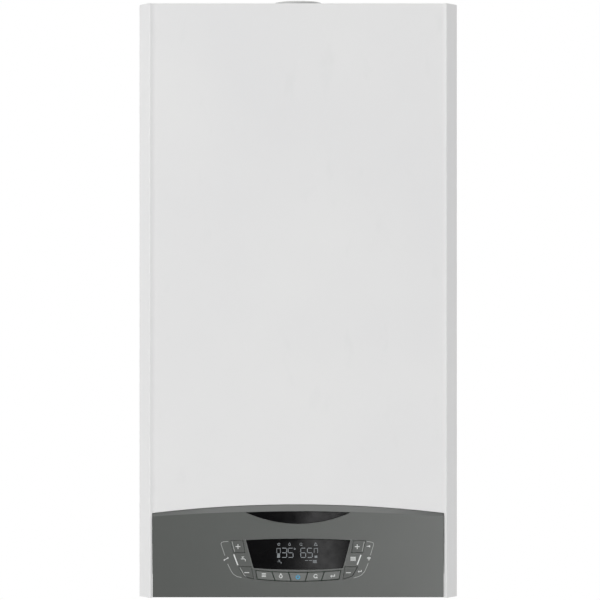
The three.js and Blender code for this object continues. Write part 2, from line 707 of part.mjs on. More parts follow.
function controlFascia() {
  const full = fasciaOutline(ARCH_TOP, ARCH_SAG);
  const band = fasciaOutline(ARCH_TOP - BAND_HEIGHT, ARCH_SAG - BAND_HEIGHT + BAND_END_HEIGHT);
  const face = lofted([{ points: full, y: fasciaBack }, { points: full, y: fasciaFront + BAND_DEPTH },
    { points: band, y: fasciaFront }]);
  const rimBack = fasciaBack + FASCIA_RIM_DEPTH;
  const rimFront = fasciaBack - FASCIA_WALL / 4;
  const rim = carve(facing(full, rimBack, rimFront),
    facing(grown(full, -FASCIA_RIM_WALL), rimBack + THROUGH, fasciaBack));
  let fascia = face.add(rim);
  for (const side of [-1, 1]) {
    const middle = side * (lugX - LUG_STEEL - CLEARANCE - LUG_STEEL / 2);
    const [low, high] = [middle - LUG_STEEL / 2, middle + LUG_STEEL / 2];
    const arm = block([low, high], [rimFront, hingeY],
      [hingeZ - HINGE_EYE_RADIUS, hingeZ + HINGE_EYE_RADIUS]);
    const pinEnds = [middle, side * (lugX + LUG_STEEL)].sort((a, b) => a - b);
    fascia = join(fascia, arm, rod("x", [hingeY, hingeZ], HINGE_EYE_RADIUS, low, high),
      rod("x", [hingeY, hingeZ], HINGE_PIN_RADIUS, ...pinEnds));
  }
  const through = (outline) => facing(outline, fasciaBack + THROUGH, fasciaFront - THROUGH);
  const keyHoles = [rowOutline(0, ROW_KEYS.length), ...Object.values(SIDE_KEYS)];
  return carve(fascia, ...keyHoles.map((outline) => through(grown(outline, KEY_CLEARANCE))),
    through(windowOutline(CLEARANCE)),
    facing(badgeOutline(CLEARANCE), fasciaFront + FASCIA_WALL / 2, fasciaFront - THROUGH));
}

function keyCap(outline) {
  const back = fasciaBack + FASCIA_WALL - KEY_PROUD;
  const front = fasciaFront - KEY_PROUD;
  const cap = lofted([{ points: outline, y: back }, { points: outline, y: front + KEY_PROUD / 2 },
    { points: grown(outline, -KEY_PROUD / 2), y: front }]);
  const mean = (axis) => outline.reduce((sum, point) => sum + point[axis], 0) / outline.length;
  return cap.add(rod("y", [mean(0), mean(1)], KEY_STEM_RADIUS, back - FASCIA_WALL, stemEnd, SMALL_SIDES));
}

function controlBox() {
  const [half, front] = [BOX_WIDTH / 2, fasciaBack + CLEARANCE];
  const shell = block([-half, half], [front, boxBack], [BOX_BOTTOM, BOX_TOP]);
  const hollow = block([-half + BOX_WALL, half - BOX_WALL], [front - THROUGH, boxFloor],
    [BOX_BOTTOM + BOX_WALL, BOX_TOP - BOX_WALL]);
  const notch = block([-half / 4, half / 4], [boxFloor - THROUGH, boxBack + THROUGH],
    [BOX_TOP - 6 * BOX_WALL, BOX_TOP - 3 * BOX_WALL]);
  const pillar = (x, z) =>
    rod("y", [x, z], 1.5 * BOX_WALL, boardBack + CLEARANCE, boxFloor + BOX_WALL / 2, SMALL_SIDES);
  const pillars = [-half + 8 * BOX_WALL, half - 8 * BOX_WALL].flatMap((x) =>
    [BOX_BOTTOM + 6 * BOX_WALL, BOX_TOP - 6 * BOX_WALL].map((z) => pillar(x, z)));
  return join(carve(shell, hollow, notch), ...pillars);
}

function mainBoard() {
  const half = BOX_WIDTH / 2 - 3 * BOX_WALL;
  const [low, high] = [BOX_BOTTOM + 3 * BOX_WALL, BOX_TOP - 3 * BOX_WALL];
  const root = boardFront + BOARD_THICKNESS / 2;
  const board = block([-half, half], [boardFront, boardBack], [low, high]);
  const blocks = BOARD_BLOCKS.map(([x, z, width, tall, depth]) =>
    block([x - width / 2, x + width / 2], [boardFront - depth, root],
      [low + z - tall / 2, low + z + tall / 2]));
  const cans = BOARD_CANS.map(([x, z, radius, depth]) =>
    rod("y", [x, low + z], radius, boardFront - depth, root, SMALL_SIDES));
  return join(board, ...blocks, ...cans);
}

function displayModule() {
  const half = WINDOW_TOP_WIDTH / 2 + MODULE_SIDE_ROOM;
  const glassHalf = WINDOW_BOTTOM_WIDTH / 2 - LCD_INSET;
  const board = block([-half, half], [moduleFront, moduleFront + BOARD_THICKNESS],
    [BOX_BOTTOM + 4 * BOX_WALL, BOX_TOP - 4 * BOX_WALL]);
  const lcd = block([-glassHalf, glassHalf], [fasciaBack + CLEARANCE, moduleFront + BOARD_THICKNESS / 2],
    [WINDOW_BOTTOM + LCD_BELOW, WINDOW_TOP - LCD_ABOVE]);
  return board.add(lcd);
}

const displayWindow = () => facing(windowOutline(), fasciaBack - CLEARANCE, fasciaFront - CLEARANCE);
const badgeInsert = () =>
  facing(badgeOutline(), fasciaFront + FASCIA_WALL / 2 - CLEARANCE, fasciaFront - CLEARANCE);

// ---------------------------------------------------------------- flue and heat cell
function flueSpigot() {
  const inner = FLUE_RADIUS - FLUE_WALL;
  const seat = CASE_HEIGHT + CLEARANCE;
  const flangeTop = seat + FLUE_WALL;
  const collarInner = COLLAR_RADIUS - COLLAR_WALL;
  const body = turned("z", [0, flueY], [
    [inner, CASE_HEIGHT - FLUE_DEPTH], [FLUE_RADIUS, CASE_HEIGHT - FLUE_DEPTH], [FLUE_RADIUS, seat],
    [COLLAR_RADIUS, seat], [COLLAR_RADIUS, seat + COLLAR_RISE], [collarInner, seat + COLLAR_RISE],
    [collarInner, flangeTop], [FLUE_RADIUS, flangeTop], [FLUE_RADIUS, CASE_HEIGHT + FLUE_RISE],
    [inner, CASE_HEIGHT + FLUE_RISE], [inner, CASE_HEIGHT - FLUE_DEPTH]], LARGE_SIDES);
  const spoke = Math.asin(SPOKE_WIDTH / 2 / FLUE_RADIUS);
  const [outer, near] = [collarInner - COLLAR_WALL - CLEARANCE, FLUE_RADIUS + CLEARANCE];
  const options = { depth: FLUE_WALL + 2 * THROUGH, bevelEnabled: false, curveSegments: 8 };
  const slots = Array.from({ length: SPOKES }, (_, i) => {
    const [from, to] = [i, i + 1].map((turn) => (turn * 2 * Math.PI) / SPOKES);
    const slot = new THREE.Shape().absarc(0, flueY, outer, from + spoke, to - spoke, false);
    slot.absarc(0, flueY, near, to - spoke, from + spoke, true);
    return solidOf(new THREE.ExtrudeGeometry(slot, options).translate(0, 0, seat - THROUGH));
  });
  return carve(body, ...slots);
}

function flueDuct() {
  const inner = FLUE_RADIUS + CLEARANCE;
  const outer = inner + FLUE_WALL;
  const top = CASE_HEIGHT - FLUE_DEPTH + 2 * FLUE_WALL;
  const tube = ring("z", [0, flueY], outer, inner, cellZ, top, LARGE_SIDES);
  return tube.subtract(
    rod("y", [CELL_X, cellZ], CELL_RADIUS + CLEARANCE, flueY - 2 * outer, flueY + 2 * outer, LARGE_SIDES));
}

function heatExchangerShell() {
  const centre = [CELL_X, cellZ];
  const drum = rod("y", centre, CELL_RADIUS, cellFront, cellBack, LARGE_SIDES);
  const flange = rod("y", centre, CELL_RADIUS + CELL_FLANGE, cellFront, cellFront + CELL_WALL, LARGE_SIDES);
  const ports = [-PORT_OFFSET, PORT_OFFSET].map((offset) =>
    rod("z", [CELL_X + offset, -PORT_FROM_WALL], PORT_RADIUS, portBottom, cellZ - CELL_RADIUS / 2));
  const footBottom = cellZ + CELL_RADIUS / 2;
  const foot = block([CELL_X - CELL_RADIUS / 2, CELL_X + CELL_RADIUS / 2],
    [cellBack - CELL_WALL, frameFront - CLEARANCE], [footBottom, footBottom + CELL_FOOT_TALL]);
  const hollow = rod("y", centre, CELL_RADIUS - CELL_WALL, cellFront - THROUGH, cellBack - CELL_WALL,
    LARGE_SIDES);
  const outlet = rod("z", [0, flueY], FLUE_RADIUS - FLUE_WALL, cellZ, cellZ + 2 * CELL_RADIUS);
  const drain = rod("z", [CELL_X, trapY], TRAP_NECK_RADIUS / 2, cellZ - 2 * CELL_RADIUS, cellZ, SMALL_SIDES);
  return carve(join(drum, flange, foot, ...ports), hollow, outlet, drain);
}

// The wound tube bundle, as one ring with a groove between each turn.
function exchangerCoil() {
  const start = cellFront + COIL_END_GAP;
  const length = cellBack - CELL_WALL - CELL_WALL - start;
  const pitch = length / COIL_TURNS;
  const groove = pitch / 4;
  const wave = (radius, inward) => Array.from({ length: COIL_TURNS }, (_, i) => [
    [radius - inward * groove, start + i * pitch], [radius, start + (i + 0.5) * pitch]]).flat();
  const outside = [...wave(coilOuter, 1), [coilOuter - groove, start + length]];
  const inside = [...wave(coilInner, -1), [coilInner + groove, start + length]].reverse();
  return turned("y", [CELL_X, cellZ], [...outside, ...inside, outside[0]], SIDES);
}

// The electrode passes between the burner and the coil, below and to the left of the middle.
function electrodePlace() {
  const reach = (coilInner - 3 * ELECTRODE_RADIUS) * Math.SQRT1_2;
  return [CELL_X - reach, cellZ - reach];
}

function burnerDoor() {
  const centre = [CELL_X, cellZ];
  const back = cellFront - CLEARANCE;
  const through = (place, radius, sides) =>
    rod("y", place, radius, doorFront - THROUGH, back + THROUGH, sides);
  return carve(rod("y", centre, CELL_RADIUS + CELL_FLANGE, doorFront, back, LARGE_SIDES),
    through(centre, BURNER_RADIUS + CLEARANCE, LARGE_SIDES),
    through(electrodePlace(), 2 * ELECTRODE_RADIUS, SMALL_SIDES),
    facing(grown(elbowOutline(), CLEARANCE), doorFront + DOOR_RECESS, doorFront - THROUGH));
}

function burnerTube() {
  const centre = [CELL_X, cellZ];
  const seat = doorFront + DOOR_RECESS - CLEARANCE;
  const [front, end] = [seat - BURNER_WALL, seat + BURNER_LENGTH];
  const tube = rod("y", centre, BURNER_RADIUS, front, end, LARGE_SIDES);
  const flange = rod("y", centre, BURNER_RADIUS + BURNER_FLANGE, front, seat, LARGE_SIDES);
  const hollow = rod("y", centre, BURNER_RADIUS - BURNER_WALL, front - THROUGH, end - BURNER_WALL,
    LARGE_SIDES);
  return carve(join(tube, flange), hollow);
}

function ignitionElectrode() {
  const place = electrodePlace();
  const seat = doorFront - CLEARANCE;
  const collar = rod("y", place, ELECTRODE_COLLAR_RADIUS, seat - ELECTRODE_COLLAR_LENGTH, seat);
  const tip = cellFront + BURNER_LENGTH / 3;
  return collar.add(rod("y", place, ELECTRODE_RADIUS, seat - THROUGH, tip, SMALL_SIDES));
}

// ---------------------------------------------------------------- fan, mixer and silencer
function fanHousing() {
  const centre = [fanX, fanZ];
  const [innerFront, innerBack] = [fanFront + FAN_WALL, fanBack - FAN_WALL];
  const drum = rod("y", centre, FAN_RADIUS, fanFront, fanBack, LARGE_SIDES);
  const spout = block([outletX, fanX], [fanFront, fanBack], [outletBottom, outletTop]);
  const cavity = rod("y", centre, FAN_RADIUS - FAN_WALL, innerFront, innerBack, LARGE_SIDES);
  const throat = block([outletX - THROUGH, fanX], [innerFront, innerBack],
    [outletBottom + FAN_WALL, outletTop - FAN_WALL]);
  return carve(join(drum, spout), cavity, throat,
    rod("y", centre, MIXER_RADIUS, innerBack - THROUGH, fanBack + THROUGH),
    rod("y", centre, 2 * FAN_SHAFT_RADIUS, fanFront - THROUGH, innerFront + THROUGH));
}

// Blades that stand between two planes on a wheel about a Y axis; reach is from the axis.
function blades(count, [x, z], [inner, outer], [front, back], thickness) {
  return Array.from({ length: count }, (_, i) => {
    const blade = new THREE.BoxGeometry(outer - inner, back - front, thickness);
    blade.translate((inner + outer) / 2, (front + back) / 2, 0).rotateY((i * 2 * Math.PI) / count);
    return solidOf(blade.translate(x, 0, z));
  });
}

function fanImpeller() {
  const centre = [fanX, fanZ];
  const radius = FAN_RADIUS - 3 * FAN_WALL;
  const front = fanFront + 2 * FAN_WALL;
  const back = fanBack - 3 * FAN_WALL;
  return join(rod("y", centre, radius, front, front + FAN_WALL, LARGE_SIDES),
    rod("y", centre, 3 * FAN_SHAFT_RADIUS, front, front + 4 * FAN_WALL),
    rod("y", centre, FAN_SHAFT_RADIUS, fanFront - FAN_MOTOR_LENGTH / 2, front + FAN_WALL),
    ...blades(FAN_BLADES, centre, [radius / 2, radius], [front, back], FAN_WALL / 2));
}

// A blind bore for a shaft that runs in it.
const shaftBore = (centre, shaft, from, to) =>
  rod("y", centre, (shaft + RUNNING_FIT) / Math.cos(Math.PI / SIDES), from, to);

function fanMotor() {
  const back = fanFront - CLEARANCE;
  const front = back - FAN_MOTOR_LENGTH;
  const [can, flange] = [FAN_MOTOR_RADIUS, FAN_MOTOR_RADIUS + FAN_WALL];
  const body = turned("y", [fanX, fanZ], [[0, front], [can - FAN_WALL, front], [can, front + FAN_WALL],
    [can, back - FAN_WALL], [flange, back - FAN_WALL], [flange, back], [0, back]], LARGE_SIDES);
  const boreEnd = fanFront - FAN_MOTOR_LENGTH / 2 - 2 * FAN_WALL;
  return body.subtract(shaftBore([fanX, fanZ], FAN_SHAFT_RADIUS, boreEnd, back + THROUGH));
}

// Outline of the duct from the fan's spout to the middle of the burner door.
function elbowOutline() {
  const reach = BURNER_RADIUS + BURNER_FLANGE + FAN_WALL;
  const [left, right] = [CELL_X - reach, CELL_X + reach];
  const [low, slope] = [cellZ - reach, reach / 2];
  const end = outletX - CLEARANCE;
  return [[left, low + slope], [left + slope, low], [right - slope, low], [right, low + slope],
    [right, outletBottom - slope], [right + slope, outletBottom], [end, outletBottom], [end, outletTop],
    [left + slope, outletTop], [left, outletTop - slope]];
}

function mixtureElbow() {
  const outline = elbowOutline();
  const back = doorFront + DOOR_RECESS - BURNER_WALL - 2 * CLEARANCE;
  const [innerFront, innerBack] = [fanFront + FAN_WALL, back - FAN_WALL];
  return carve(facing(outline, back, fanFront),
    facing(grown(outline, -FAN_WALL), innerBack, innerFront),
    rod("y", [CELL_X, cellZ], BURNER_RADIUS - BURNER_WALL, innerBack - FAN_WALL, back + THROUGH,
      LARGE_SIDES),
    block([outletX - 3 * FAN_WALL, outletX + THROUGH], [innerFront, innerBack],
      [outletBottom + FAN_WALL, outletTop - FAN_WALL]));
}

function gasMixer() {
  const inner = MIXER_RADIUS - FAN_WALL;
  const upright = rod("z", [fanX, mixerY], MIXER_RADIUS, mixerBottom, silencerBottom - CLEARANCE);
  const arm = rod("y", [fanX, fanZ], MIXER_RADIUS, fanBack + CLEARANCE, mixerY);
  return carve(join(upright, arm),
    rod("z", [fanX, mixerY], inner, mixerBottom + FAN_WALL, silencerBottom + THROUGH),
    rod("y", [fanX, fanZ], inner, fanBack - THROUGH, mixerY));
}

function airSilencer() {
  const [left, right] = [fanX - SILENCER_WIDTH / 2, fanX + SILENCER_WIDTH / 2];
  const front = silencerBack - SILENCER_DEPTH;
  const box = block([left, right], [front, silencerBack], [silencerBottom, silencerTop]);
  const hollow = block([left + FAN_WALL, right - FAN_WALL], [front + FAN_WALL, silencerBack - FAN_WALL],
    [silencerBottom + FAN_WALL, silencerTop - FAN_WALL]);
  const mouth = block([left + 4 * FAN_WALL, right - 4 * FAN_WALL],
    [front + SILENCER_DEPTH / 2, silencerBack - 2 * FAN_WALL],
    [silencerTop - 2 * FAN_WALL, silencerTop + THROUGH]);
  const outlet = rod("z", [fanX, mixerY], MIXER_RADIUS - FAN_WALL, silencerBottom - THROUGH,
    silencerBottom + 2 * FAN_WALL);
  const hanger = block([fanX - SILENCER_WIDTH / 4, fanX + SILENCER_WIDTH / 4],
    [silencerBack - FAN_WALL, silencerBack], [silencerTop - THROUGH, topUnder - CLEARANCE]);
  return carve(box, hollow, mouth, outlet).add(hanger);
}

// ---------------------------------------------------------------- gas valve and its pipe
function gasValve() {
  const [left, right] = [GAS_VALVE_X - GAS_VALVE_WIDTH / 2, GAS_VALVE_X + GAS_VALVE_WIDTH / 2];
  const back = -GAS_VALVE_FROM_WALL;
  const front = back - GAS_VALVE_DEPTH;
  const top = gasValveZ + GAS_VALVE_TALL;
  const outletZ = mixerBottom - GAS_PIPE_RADIUS - CLEARANCE - GAS_OUTLET_BEND / 2;
  const outletPlace = GAS_VALVE_X - GAS_VALVE_WIDTH / 4;
  const outlet = pipe([[outletPlace, gasValveY, top - THROUGH], [outletPlace, gasValveY, outletZ],
    [fanX, mixerY, outletZ], [fanX, mixerY, mixerBottom - CLEARANCE]], GAS_PIPE_RADIUS, GAS_OUTLET_BEND);
  return join(block([left, right], [front, back], [gasValveZ, top]),
    rod("y", [GAS_VALVE_X, gasValveZ + GAS_COIL_RISE], GAS_COIL_RADIUS, front - GAS_COIL_LENGTH,
      front + THROUGH),
    rod("z", [GAS_VALVE_X, gasValveY], 1.8 * GAS_PIPE_RADIUS, gasValveZ - GAS_VALVE_NUT,
      gasValveZ + THROUGH, NUT_SIDES),
    outlet);
}

// A pipe that starts at its open end under the base, with its union nut.
function tailPipe(x, radius, bore, route, bend) {
  const place = [x, tailY];
  const tube = pipe([[...place, TAIL_END], ...route], radius, bend);
  const nut = rod("z", place, NUT_RADIUS, nutBottom, nutTop, NUT_SIDES);
  return carve(tube.add(nut), rod("z", place, bore, TAIL_END - THROUGH, nutTop, SMALL_SIDES));
}

function gasPipe() {
  const rise = PLATE_BOTTOM + PLATE_TALL + GAS_PIPE_ABOVE_PLATES;
  const end = gasValveZ - GAS_VALVE_NUT - CLEARANCE;
  const route = [[0, tailY, rise], [GAS_VALVE_X, gasValveY, end - GAS_PIPE_BELOW_VALVE],
    [GAS_VALVE_X, gasValveY, end]];
  return tailPipe(0, GAS_PIPE_RADIUS, GAS_PIPE_RADIUS - GAS_PIPE_WALL, route, GAS_PIPE_BEND);
}

// ---------------------------------------------------------------- water side
const waterTail = (x, route) => tailPipe(x, TAIL_RADIUS, TAIL_BORE, route, TAIL_BEND);

function plateTail(x) {
  const turn = (baseTop + PLATE_BOTTOM) / 2;
  const slant = TAIL_RADIUS - 1;
  return waterTail(x, [[x, tailY, turn - slant], [x, plateY, turn + slant],
    [x, plateY, PLATE_BOTTOM - CLEARANCE]]);
}

function plateHeatExchanger() {
  const [left, right] = [PLATE_X - PLATE_LENGTH / 2, PLATE_X + PLATE_LENGTH / 2];
  const [back, top] = [-PLATE_FROM_WALL, PLATE_BOTTOM + PLATE_TALL];
  const pitch = PLATE_DEPTH / PLATE_COUNT;
  const core = block([left + PLATE_LIP, right - PLATE_LIP], [back - PLATE_DEPTH, back],
    [PLATE_BOTTOM + PLATE_LIP, top - PLATE_LIP]);
  const plates = Array.from({ length: PLATE_COUNT }, (_, i) =>
    block([left, right], [back - (i + 0.5) * pitch, back - i * pitch], [PLATE_BOTTOM, top]));
  return join(core, ...plates);
}

function pumpBody() {
  const centre = [pumpX, PUMP_Z];
  const back = tailY + PUMP_DEPTH / 2;
  const volute = rod("y", centre, PUMP_RADIUS, pumpFront, back, LARGE_SIDES);
  const neck = rod("z", [pumpX, tailY], PORT_RADIUS, PUMP_Z - PUMP_RADIUS - PUMP_INLET_NECK,
    pumpTop + PUMP_OUTLET_NECK);
  const ventBoss = rod("z", [ventX, tailY], 0.8 * VENT_RADIUS, PUMP_Z, pumpTop);
  const hoseBoss = rod("z", [hoseX, hoseY], 1.5 * HOSE_RADIUS, PUMP_Z, pumpTop);
  const chamber = rod("y", centre, PUMP_CHAMBER_RADIUS, pumpFront - THROUGH, back - PUMP_DEPTH / 3,
    LARGE_SIDES);
  return carve(join(volute, neck, ventBoss, hoseBoss), chamber);
}

function pumpImpeller() {
  const centre = [pumpX, PUMP_Z];
  const radius = PUMP_CHAMBER_RADIUS - PUMP_WHEEL_GAP;
  const front = pumpFront + PUMP_WHEEL_GAP;
  const back = tailY + PUMP_DEPTH / 6 - PUMP_WHEEL_GAP;
  return join(rod("y", centre, radius, front, front + PUMP_WHEEL_DISC, LARGE_SIDES),
    rod("y", centre, PUMP_SHAFT_RADIUS, pumpFront - PUMP_MOTOR_LENGTH / 5, back),
    ...blades(PUMP_BLADES, centre, [PUMP_SHAFT_RADIUS / 2, radius - PUMP_BLADE],
      [front + PUMP_WHEEL_DISC / 2, back], PUMP_BLADE));
}

function pumpMotor() {
  const back = pumpFront - CLEARANCE;
  const front = back - PUMP_MOTOR_LENGTH;
  const [r, edge, waist] = [PUMP_MOTOR_RADIUS, PUMP_MOTOR_EDGE, PUMP_MOTOR_RADIUS - PUMP_WAIST];
  const [waistBack, waistFront] = [back - edge, back - edge - PUMP_WAIST_LENGTH];
  const can = turned("y", [pumpX, PUMP_Z], [[0, front], [r / 3, front], [r / 3, front + edge / 3],
    [r - edge, front + edge / 3], [r, front + edge], [r, waistFront], [waist, waistFront + PUMP_WAIST],
    [waist, waistBack], [r, waistBack], [r, back], [0, back]], LARGE_SIDES);
  const terminalBox = block([pumpX - r / 2, pumpX + r / 2], [front + 2 * edge, waistFront],
    [PUMP_Z + r - edge, PUMP_Z + r + PUMP_TERMINALS]);
  return carve(can.add(terminalBox),
    shaftBore([pumpX, PUMP_Z], PUMP_SHAFT_RADIUS, back - PUMP_MOTOR_LENGTH / 4, back + THROUGH));
}

function airVent() {
  const low = pumpTop + CLEARANCE;
  const high = low + VENT_TALL;
  const [foot, nozzle] = [0.8 * VENT_RADIUS, VENT_RADIUS / 3];
  return turned("z", [ventX, tailY], [[0, low], [foot, low], [foot, low + VENT_FOOT],
    [VENT_RADIUS, low + VENT_FOOT + 1],
    [VENT_RADIUS, high - VENT_CAP - 1], [nozzle, high - VENT_CAP], [nozzle, high], [0, high]]);
}

function returnPipe() {
  const start = pumpTop + PUMP_OUTLET_NECK + CLEARANCE;
  const [x, y, turn] = [CELL_X + PORT_OFFSET, -PORT_FROM_WALL, portBottom - PIPE_TURN];
  return pipe([[pumpX, tailY, start], [pumpX, tailY, turn], [x, y, turn], [x, y, portBottom - CLEARANCE]],
    PIPE_RADIUS, PIPE_BEND);
}

function flowPipe() {
  const x = CELL_X - PORT_OFFSET;
  const end = diverterX + DIVERTER_RADIUS + DIVERTER_STUB + CLEARANCE;
  const route = [[x, -PORT_FROM_WALL, portBottom - CLEARANCE], [x, tailY, diverterMiddle],
    [end, tailY, diverterMiddle]];
  return pipe(route, PIPE_RADIUS, PIPE_RADIUS + DIVERTER_STUB);
}

function diverterValve() {
  const linkZ = diverterMiddle - DIVERTER_TALL / 4;
  const linkX = PLATE_X - PLATE_LENGTH / 2 + TAIL_RADIUS + 2 * PLATE_LIP;
  const route = [[diverterX, tailY, linkZ], [linkX, tailY, linkZ],
    [linkX, -PLATE_FROM_WALL + CLEARANCE, linkZ]];
  const link = pipe(route, DIVERTER_LINK_RADIUS, 1.5 * DIVERTER_LINK_RADIUS);
  const inlet = rod("x", [tailY, diverterMiddle], PORT_RADIUS, diverterX,
    diverterX + DIVERTER_RADIUS + DIVERTER_STUB);
  const body = rod("z", [diverterX, tailY], DIVERTER_RADIUS, DIVERTER_BOTTOM, diverterTop);
  return carve(join(body, inlet, link),
    rod("z", [diverterX, tailY], DIVERTER_RADIUS - DIVERTER_SEAT_WALL, DIVERTER_BOTTOM + 2 * DIVERTER_TRAVEL,
      diverterTop + THROUGH));
}

function diverterSpindle() {
  const place = [diverterX, tailY];
  const low = DIVERTER_BOTTOM + 4 * DIVERTER_TRAVEL;
  const high = diverterTop + 2 * DIVERTER_TRAVEL;
  const disc = rod("z", place, DIVERTER_RADIUS - DIVERTER_SEAT_WALL - 5 * CLEARANCE, low,
    low + DIVERTER_TRAVEL);
  return disc.add(rod("z", place, DIVERTER_SPINDLE_RADIUS, low, high, SMALL_SIDES));
}

function diverterMotor() {
  const half = DIVERTER_MOTOR_SIDE / 2;
  const low = diverterTop + CLEARANCE;
  const high = low + DIVERTER_MOTOR_TALL;
  const body = block([diverterX - half, diverterX + half], [tailY - half, tailY + half], [low, high]);
  const cap = rod("z", [diverterX, tailY], 0.7 * half, high - THROUGH, high + DIVERTER_CAP_TALL);
  const hole = DIVERTER_SPINDLE_RADIUS + CLEARANCE;
  return carve(join(body, cap),
    rod("z", [diverterX, tailY], hole, low - THROUGH, low + 4 * DIVERTER_TRAVEL, SMALL_SIDES));
}

// Half outline of the flat round drum, drawn in by inset for its inside.
function vesselProfile(inset) {
  const rim = VESSEL_RADIUS - VESSEL_SEAM - inset;
  const [flat, edge] = [rim - 1.5 * VESSEL_SHOULDER, rim - VESSEL_SHOULDER / 2];
  const [front, back] = [vesselFront + inset, vesselBack - inset];
  const [lean, fall] = [VESSEL_SHOULDER / 3, VESSEL_SHOULDER];
  return [[0, front], [flat, front], [edge, front + lean], [rim, front + fall],
    [rim, back - fall], [edge, back - lean], [flat, back], [0, back]];
}

function expansionVessel() {
  const centre = [0, VESSEL_Z];
  const seam = (vesselBack + vesselFront) / 2;
  const drum = turned("y", centre, vesselProfile(0), LARGE_SIDES);
  const rim = rod("y", centre, VESSEL_RADIUS, seam - VESSEL_SEAM / 2, seam + VESSEL_SEAM / 2, LARGE_SIDES);
  const foot = block([-VESSEL_RADIUS / 2, VESSEL_RADIUS / 2], [vesselBack - THROUGH, frameFront - CLEARANCE],
    [VESSEL_Z - VESSEL_RADIUS / 3, VESSEL_Z + VESSEL_RADIUS / 3]);
  return carve(join(drum, rim, foot), turned("y", centre, vesselProfile(VESSEL_WALL), LARGE_SIDES),
    rod("y", vesselPort, HOSE_RADIUS / 2, vesselFront - THROUGH, vesselFront + 2 * VESSEL_WALL,
      SMALL_SIDES));
}

function vesselHose() {
  const [x, z] = vesselPort;
  const route = [[x, vesselFront - CLEARANCE, z], [x, hoseY, z], [hoseX, hoseY, z],
    [hoseX, hoseY, pumpTop + CLEARANCE]];
  return pipe(route, HOSE_RADIUS, 2 * HOSE_RADIUS, HOSE_SIDES);
}

// ---------------------------------------------------------------- fittings over and under the base
function condensateTrap() {
  const [low, top] = [trapTop - TRAP_TALL, trapTop - TRAP_SHOULDER];
  const [rim, r] = [TRAP_RADIUS, TRAP_RADIUS - TRAP_RIM];
  return turned("z", [CELL_X, trapY], [[0, nutBottom], [TRAP_OUTLET_RADIUS, nutBottom],
    [TRAP_OUTLET_RADIUS, low - TRAP_SHOULDER], [rim, low], [rim, low + TRAP_SHOULDER],
    [r, low + TRAP_SHOULDER + TRAP_RIM],
    [r, top - TRAP_SHOULDER - TRAP_RIM], [rim, top - TRAP_SHOULDER], [rim, top],
    [TRAP_NECK_RADIUS, trapTop], [TRAP_NECK_RADIUS, cellUnderside], [0, cellUnderside]]);
}

function pressureGauge() {
  const dial = gaugeLow + GAUGE_DIAL_DEPTH;
  const seat = BASE_HEIGHT - CLEARANCE;
  const high = gaugeLow + GAUGE_TALL;
  const [rim, r] = [GAUGE_RADIUS + GAUGE_RIM, GAUGE_RADIUS];
  return turned("z", [GAUGE_X, gaugeY], [[0, dial], [r - GAUGE_RIM, dial],
    [r - GAUGE_RIM, gaugeLow], [rim, gaugeLow],
    [rim, seat], [r, seat], [r, high], [r / 4, high + GAUGE_RIM], [r / 4, high + GAUGE_TAIL],
    [0, high + GAUGE_TAIL]], LARGE_SIDES);
}

function gaugeNeedle() {
  const hubLow = gaugeLow + GAUGE_DIAL_DEPTH / 3;
  const hubHigh = gaugeLow + GAUGE_DIAL_DEPTH - CLEARANCE;
  const tip = gaugeY + GAUGE_RADIUS - 2.5 * GAUGE_RIM;
  const tail = gaugeY - NEEDLE_TAIL;
  const [wide, fine] = [NEEDLE_RADIUS / 2.5, NEEDLE_RADIUS / 5];
  const blade = [[GAUGE_X - wide, tail], [GAUGE_X + wide, tail],
    [GAUGE_X + fine, tip], [GAUGE_X - fine, tip]];
  return join(rod("z", [GAUGE_X, gaugeY], NEEDLE_RADIUS, hubLow, hubHigh, SMALL_SIDES),
    lying(blade, hubLow + 3 * CLEARANCE, hubHigh - 3 * CLEARANCE));
}

function fillingTap() {
  const place = [TAP_X, tapY];
  const low = nutBottom + TAP_KNOB_TALL + CLEARANCE;
  const nutEnd = baseTop + TAP_NUT_TALL;
  const turn = (nutEnd + PLATE_BOTTOM) / 2;
  const riser = pipe([[...place, nutEnd - THROUGH], [...place, turn], [TAP_X, plateY, turn],
    [TAP_X, plateY, PLATE_BOTTOM - CLEARANCE]], TAP_PIPE_RADIUS, 1.5 * TAP_PIPE_RADIUS);
  return join(rod("z", place, TAP_RADIUS, low, nutEnd),
    rod("z", place, 1.4 * TAP_RADIUS, baseTop + CLEARANCE, nutEnd, NUT_SIDES), riser);
}

function fillingTapKnob() {
  const high = nutBottom + TAP_KNOB_TALL;
  const reach = TAP_KNOB_RADIUS - TAP_LOBE_RADIUS;
  const lobes = Array.from({ length: TAP_LOBES }, (_, i) => {
    const angle = (i * 2 * Math.PI) / TAP_LOBES;
    const place = [TAP_X + reach * Math.cos(angle), tapY + reach * Math.sin(angle)];
    return rod("z", place, TAP_LOBE_RADIUS, nutBottom, high, SMALL_SIDES);
  });
  return join(rod("z", [TAP_X, tapY], reach + TAP_LOBE_RADIUS / 2, nutBottom, high), ...lobes);
}

function safetyValve() {
  const centre = [diverterX, safetyZ];
  const front = safetyBack - SAFETY_LENGTH;
  const collarFront = front + SAFETY_NUT_INSET;
  return join(rod("y", centre, SAFETY_RADIUS, front, safetyBack),
    rod("y", centre, 1.3 * SAFETY_RADIUS, collarFront, collarFront + SAFETY_NUT, NUT_SIDES),
    rod("z", [diverterX, safetyOutletY], SAFETY_RADIUS / 2, nutTop, safetyZ, SMALL_SIDES));
}

function safetyValveKnob() {
  const centre = [diverterX, safetyZ];
  const back = safetyBack - SAFETY_LENGTH - CLEARANCE;
  const front = back - SAFETY_KNOB_LENGTH;
  const [r, edge] = [SAFETY_KNOB_RADIUS, SAFETY_RIB];
  const cap = turned("y", centre, [[0, front], [r - edge, front], [r - edge / 3, front + edge],
    [r - edge / 3, back], [0, back]]);
  return join(cap, ...blades(SAFETY_RIBS, centre, [r - edge, r], [front + edge, back - edge / 3], edge));
}

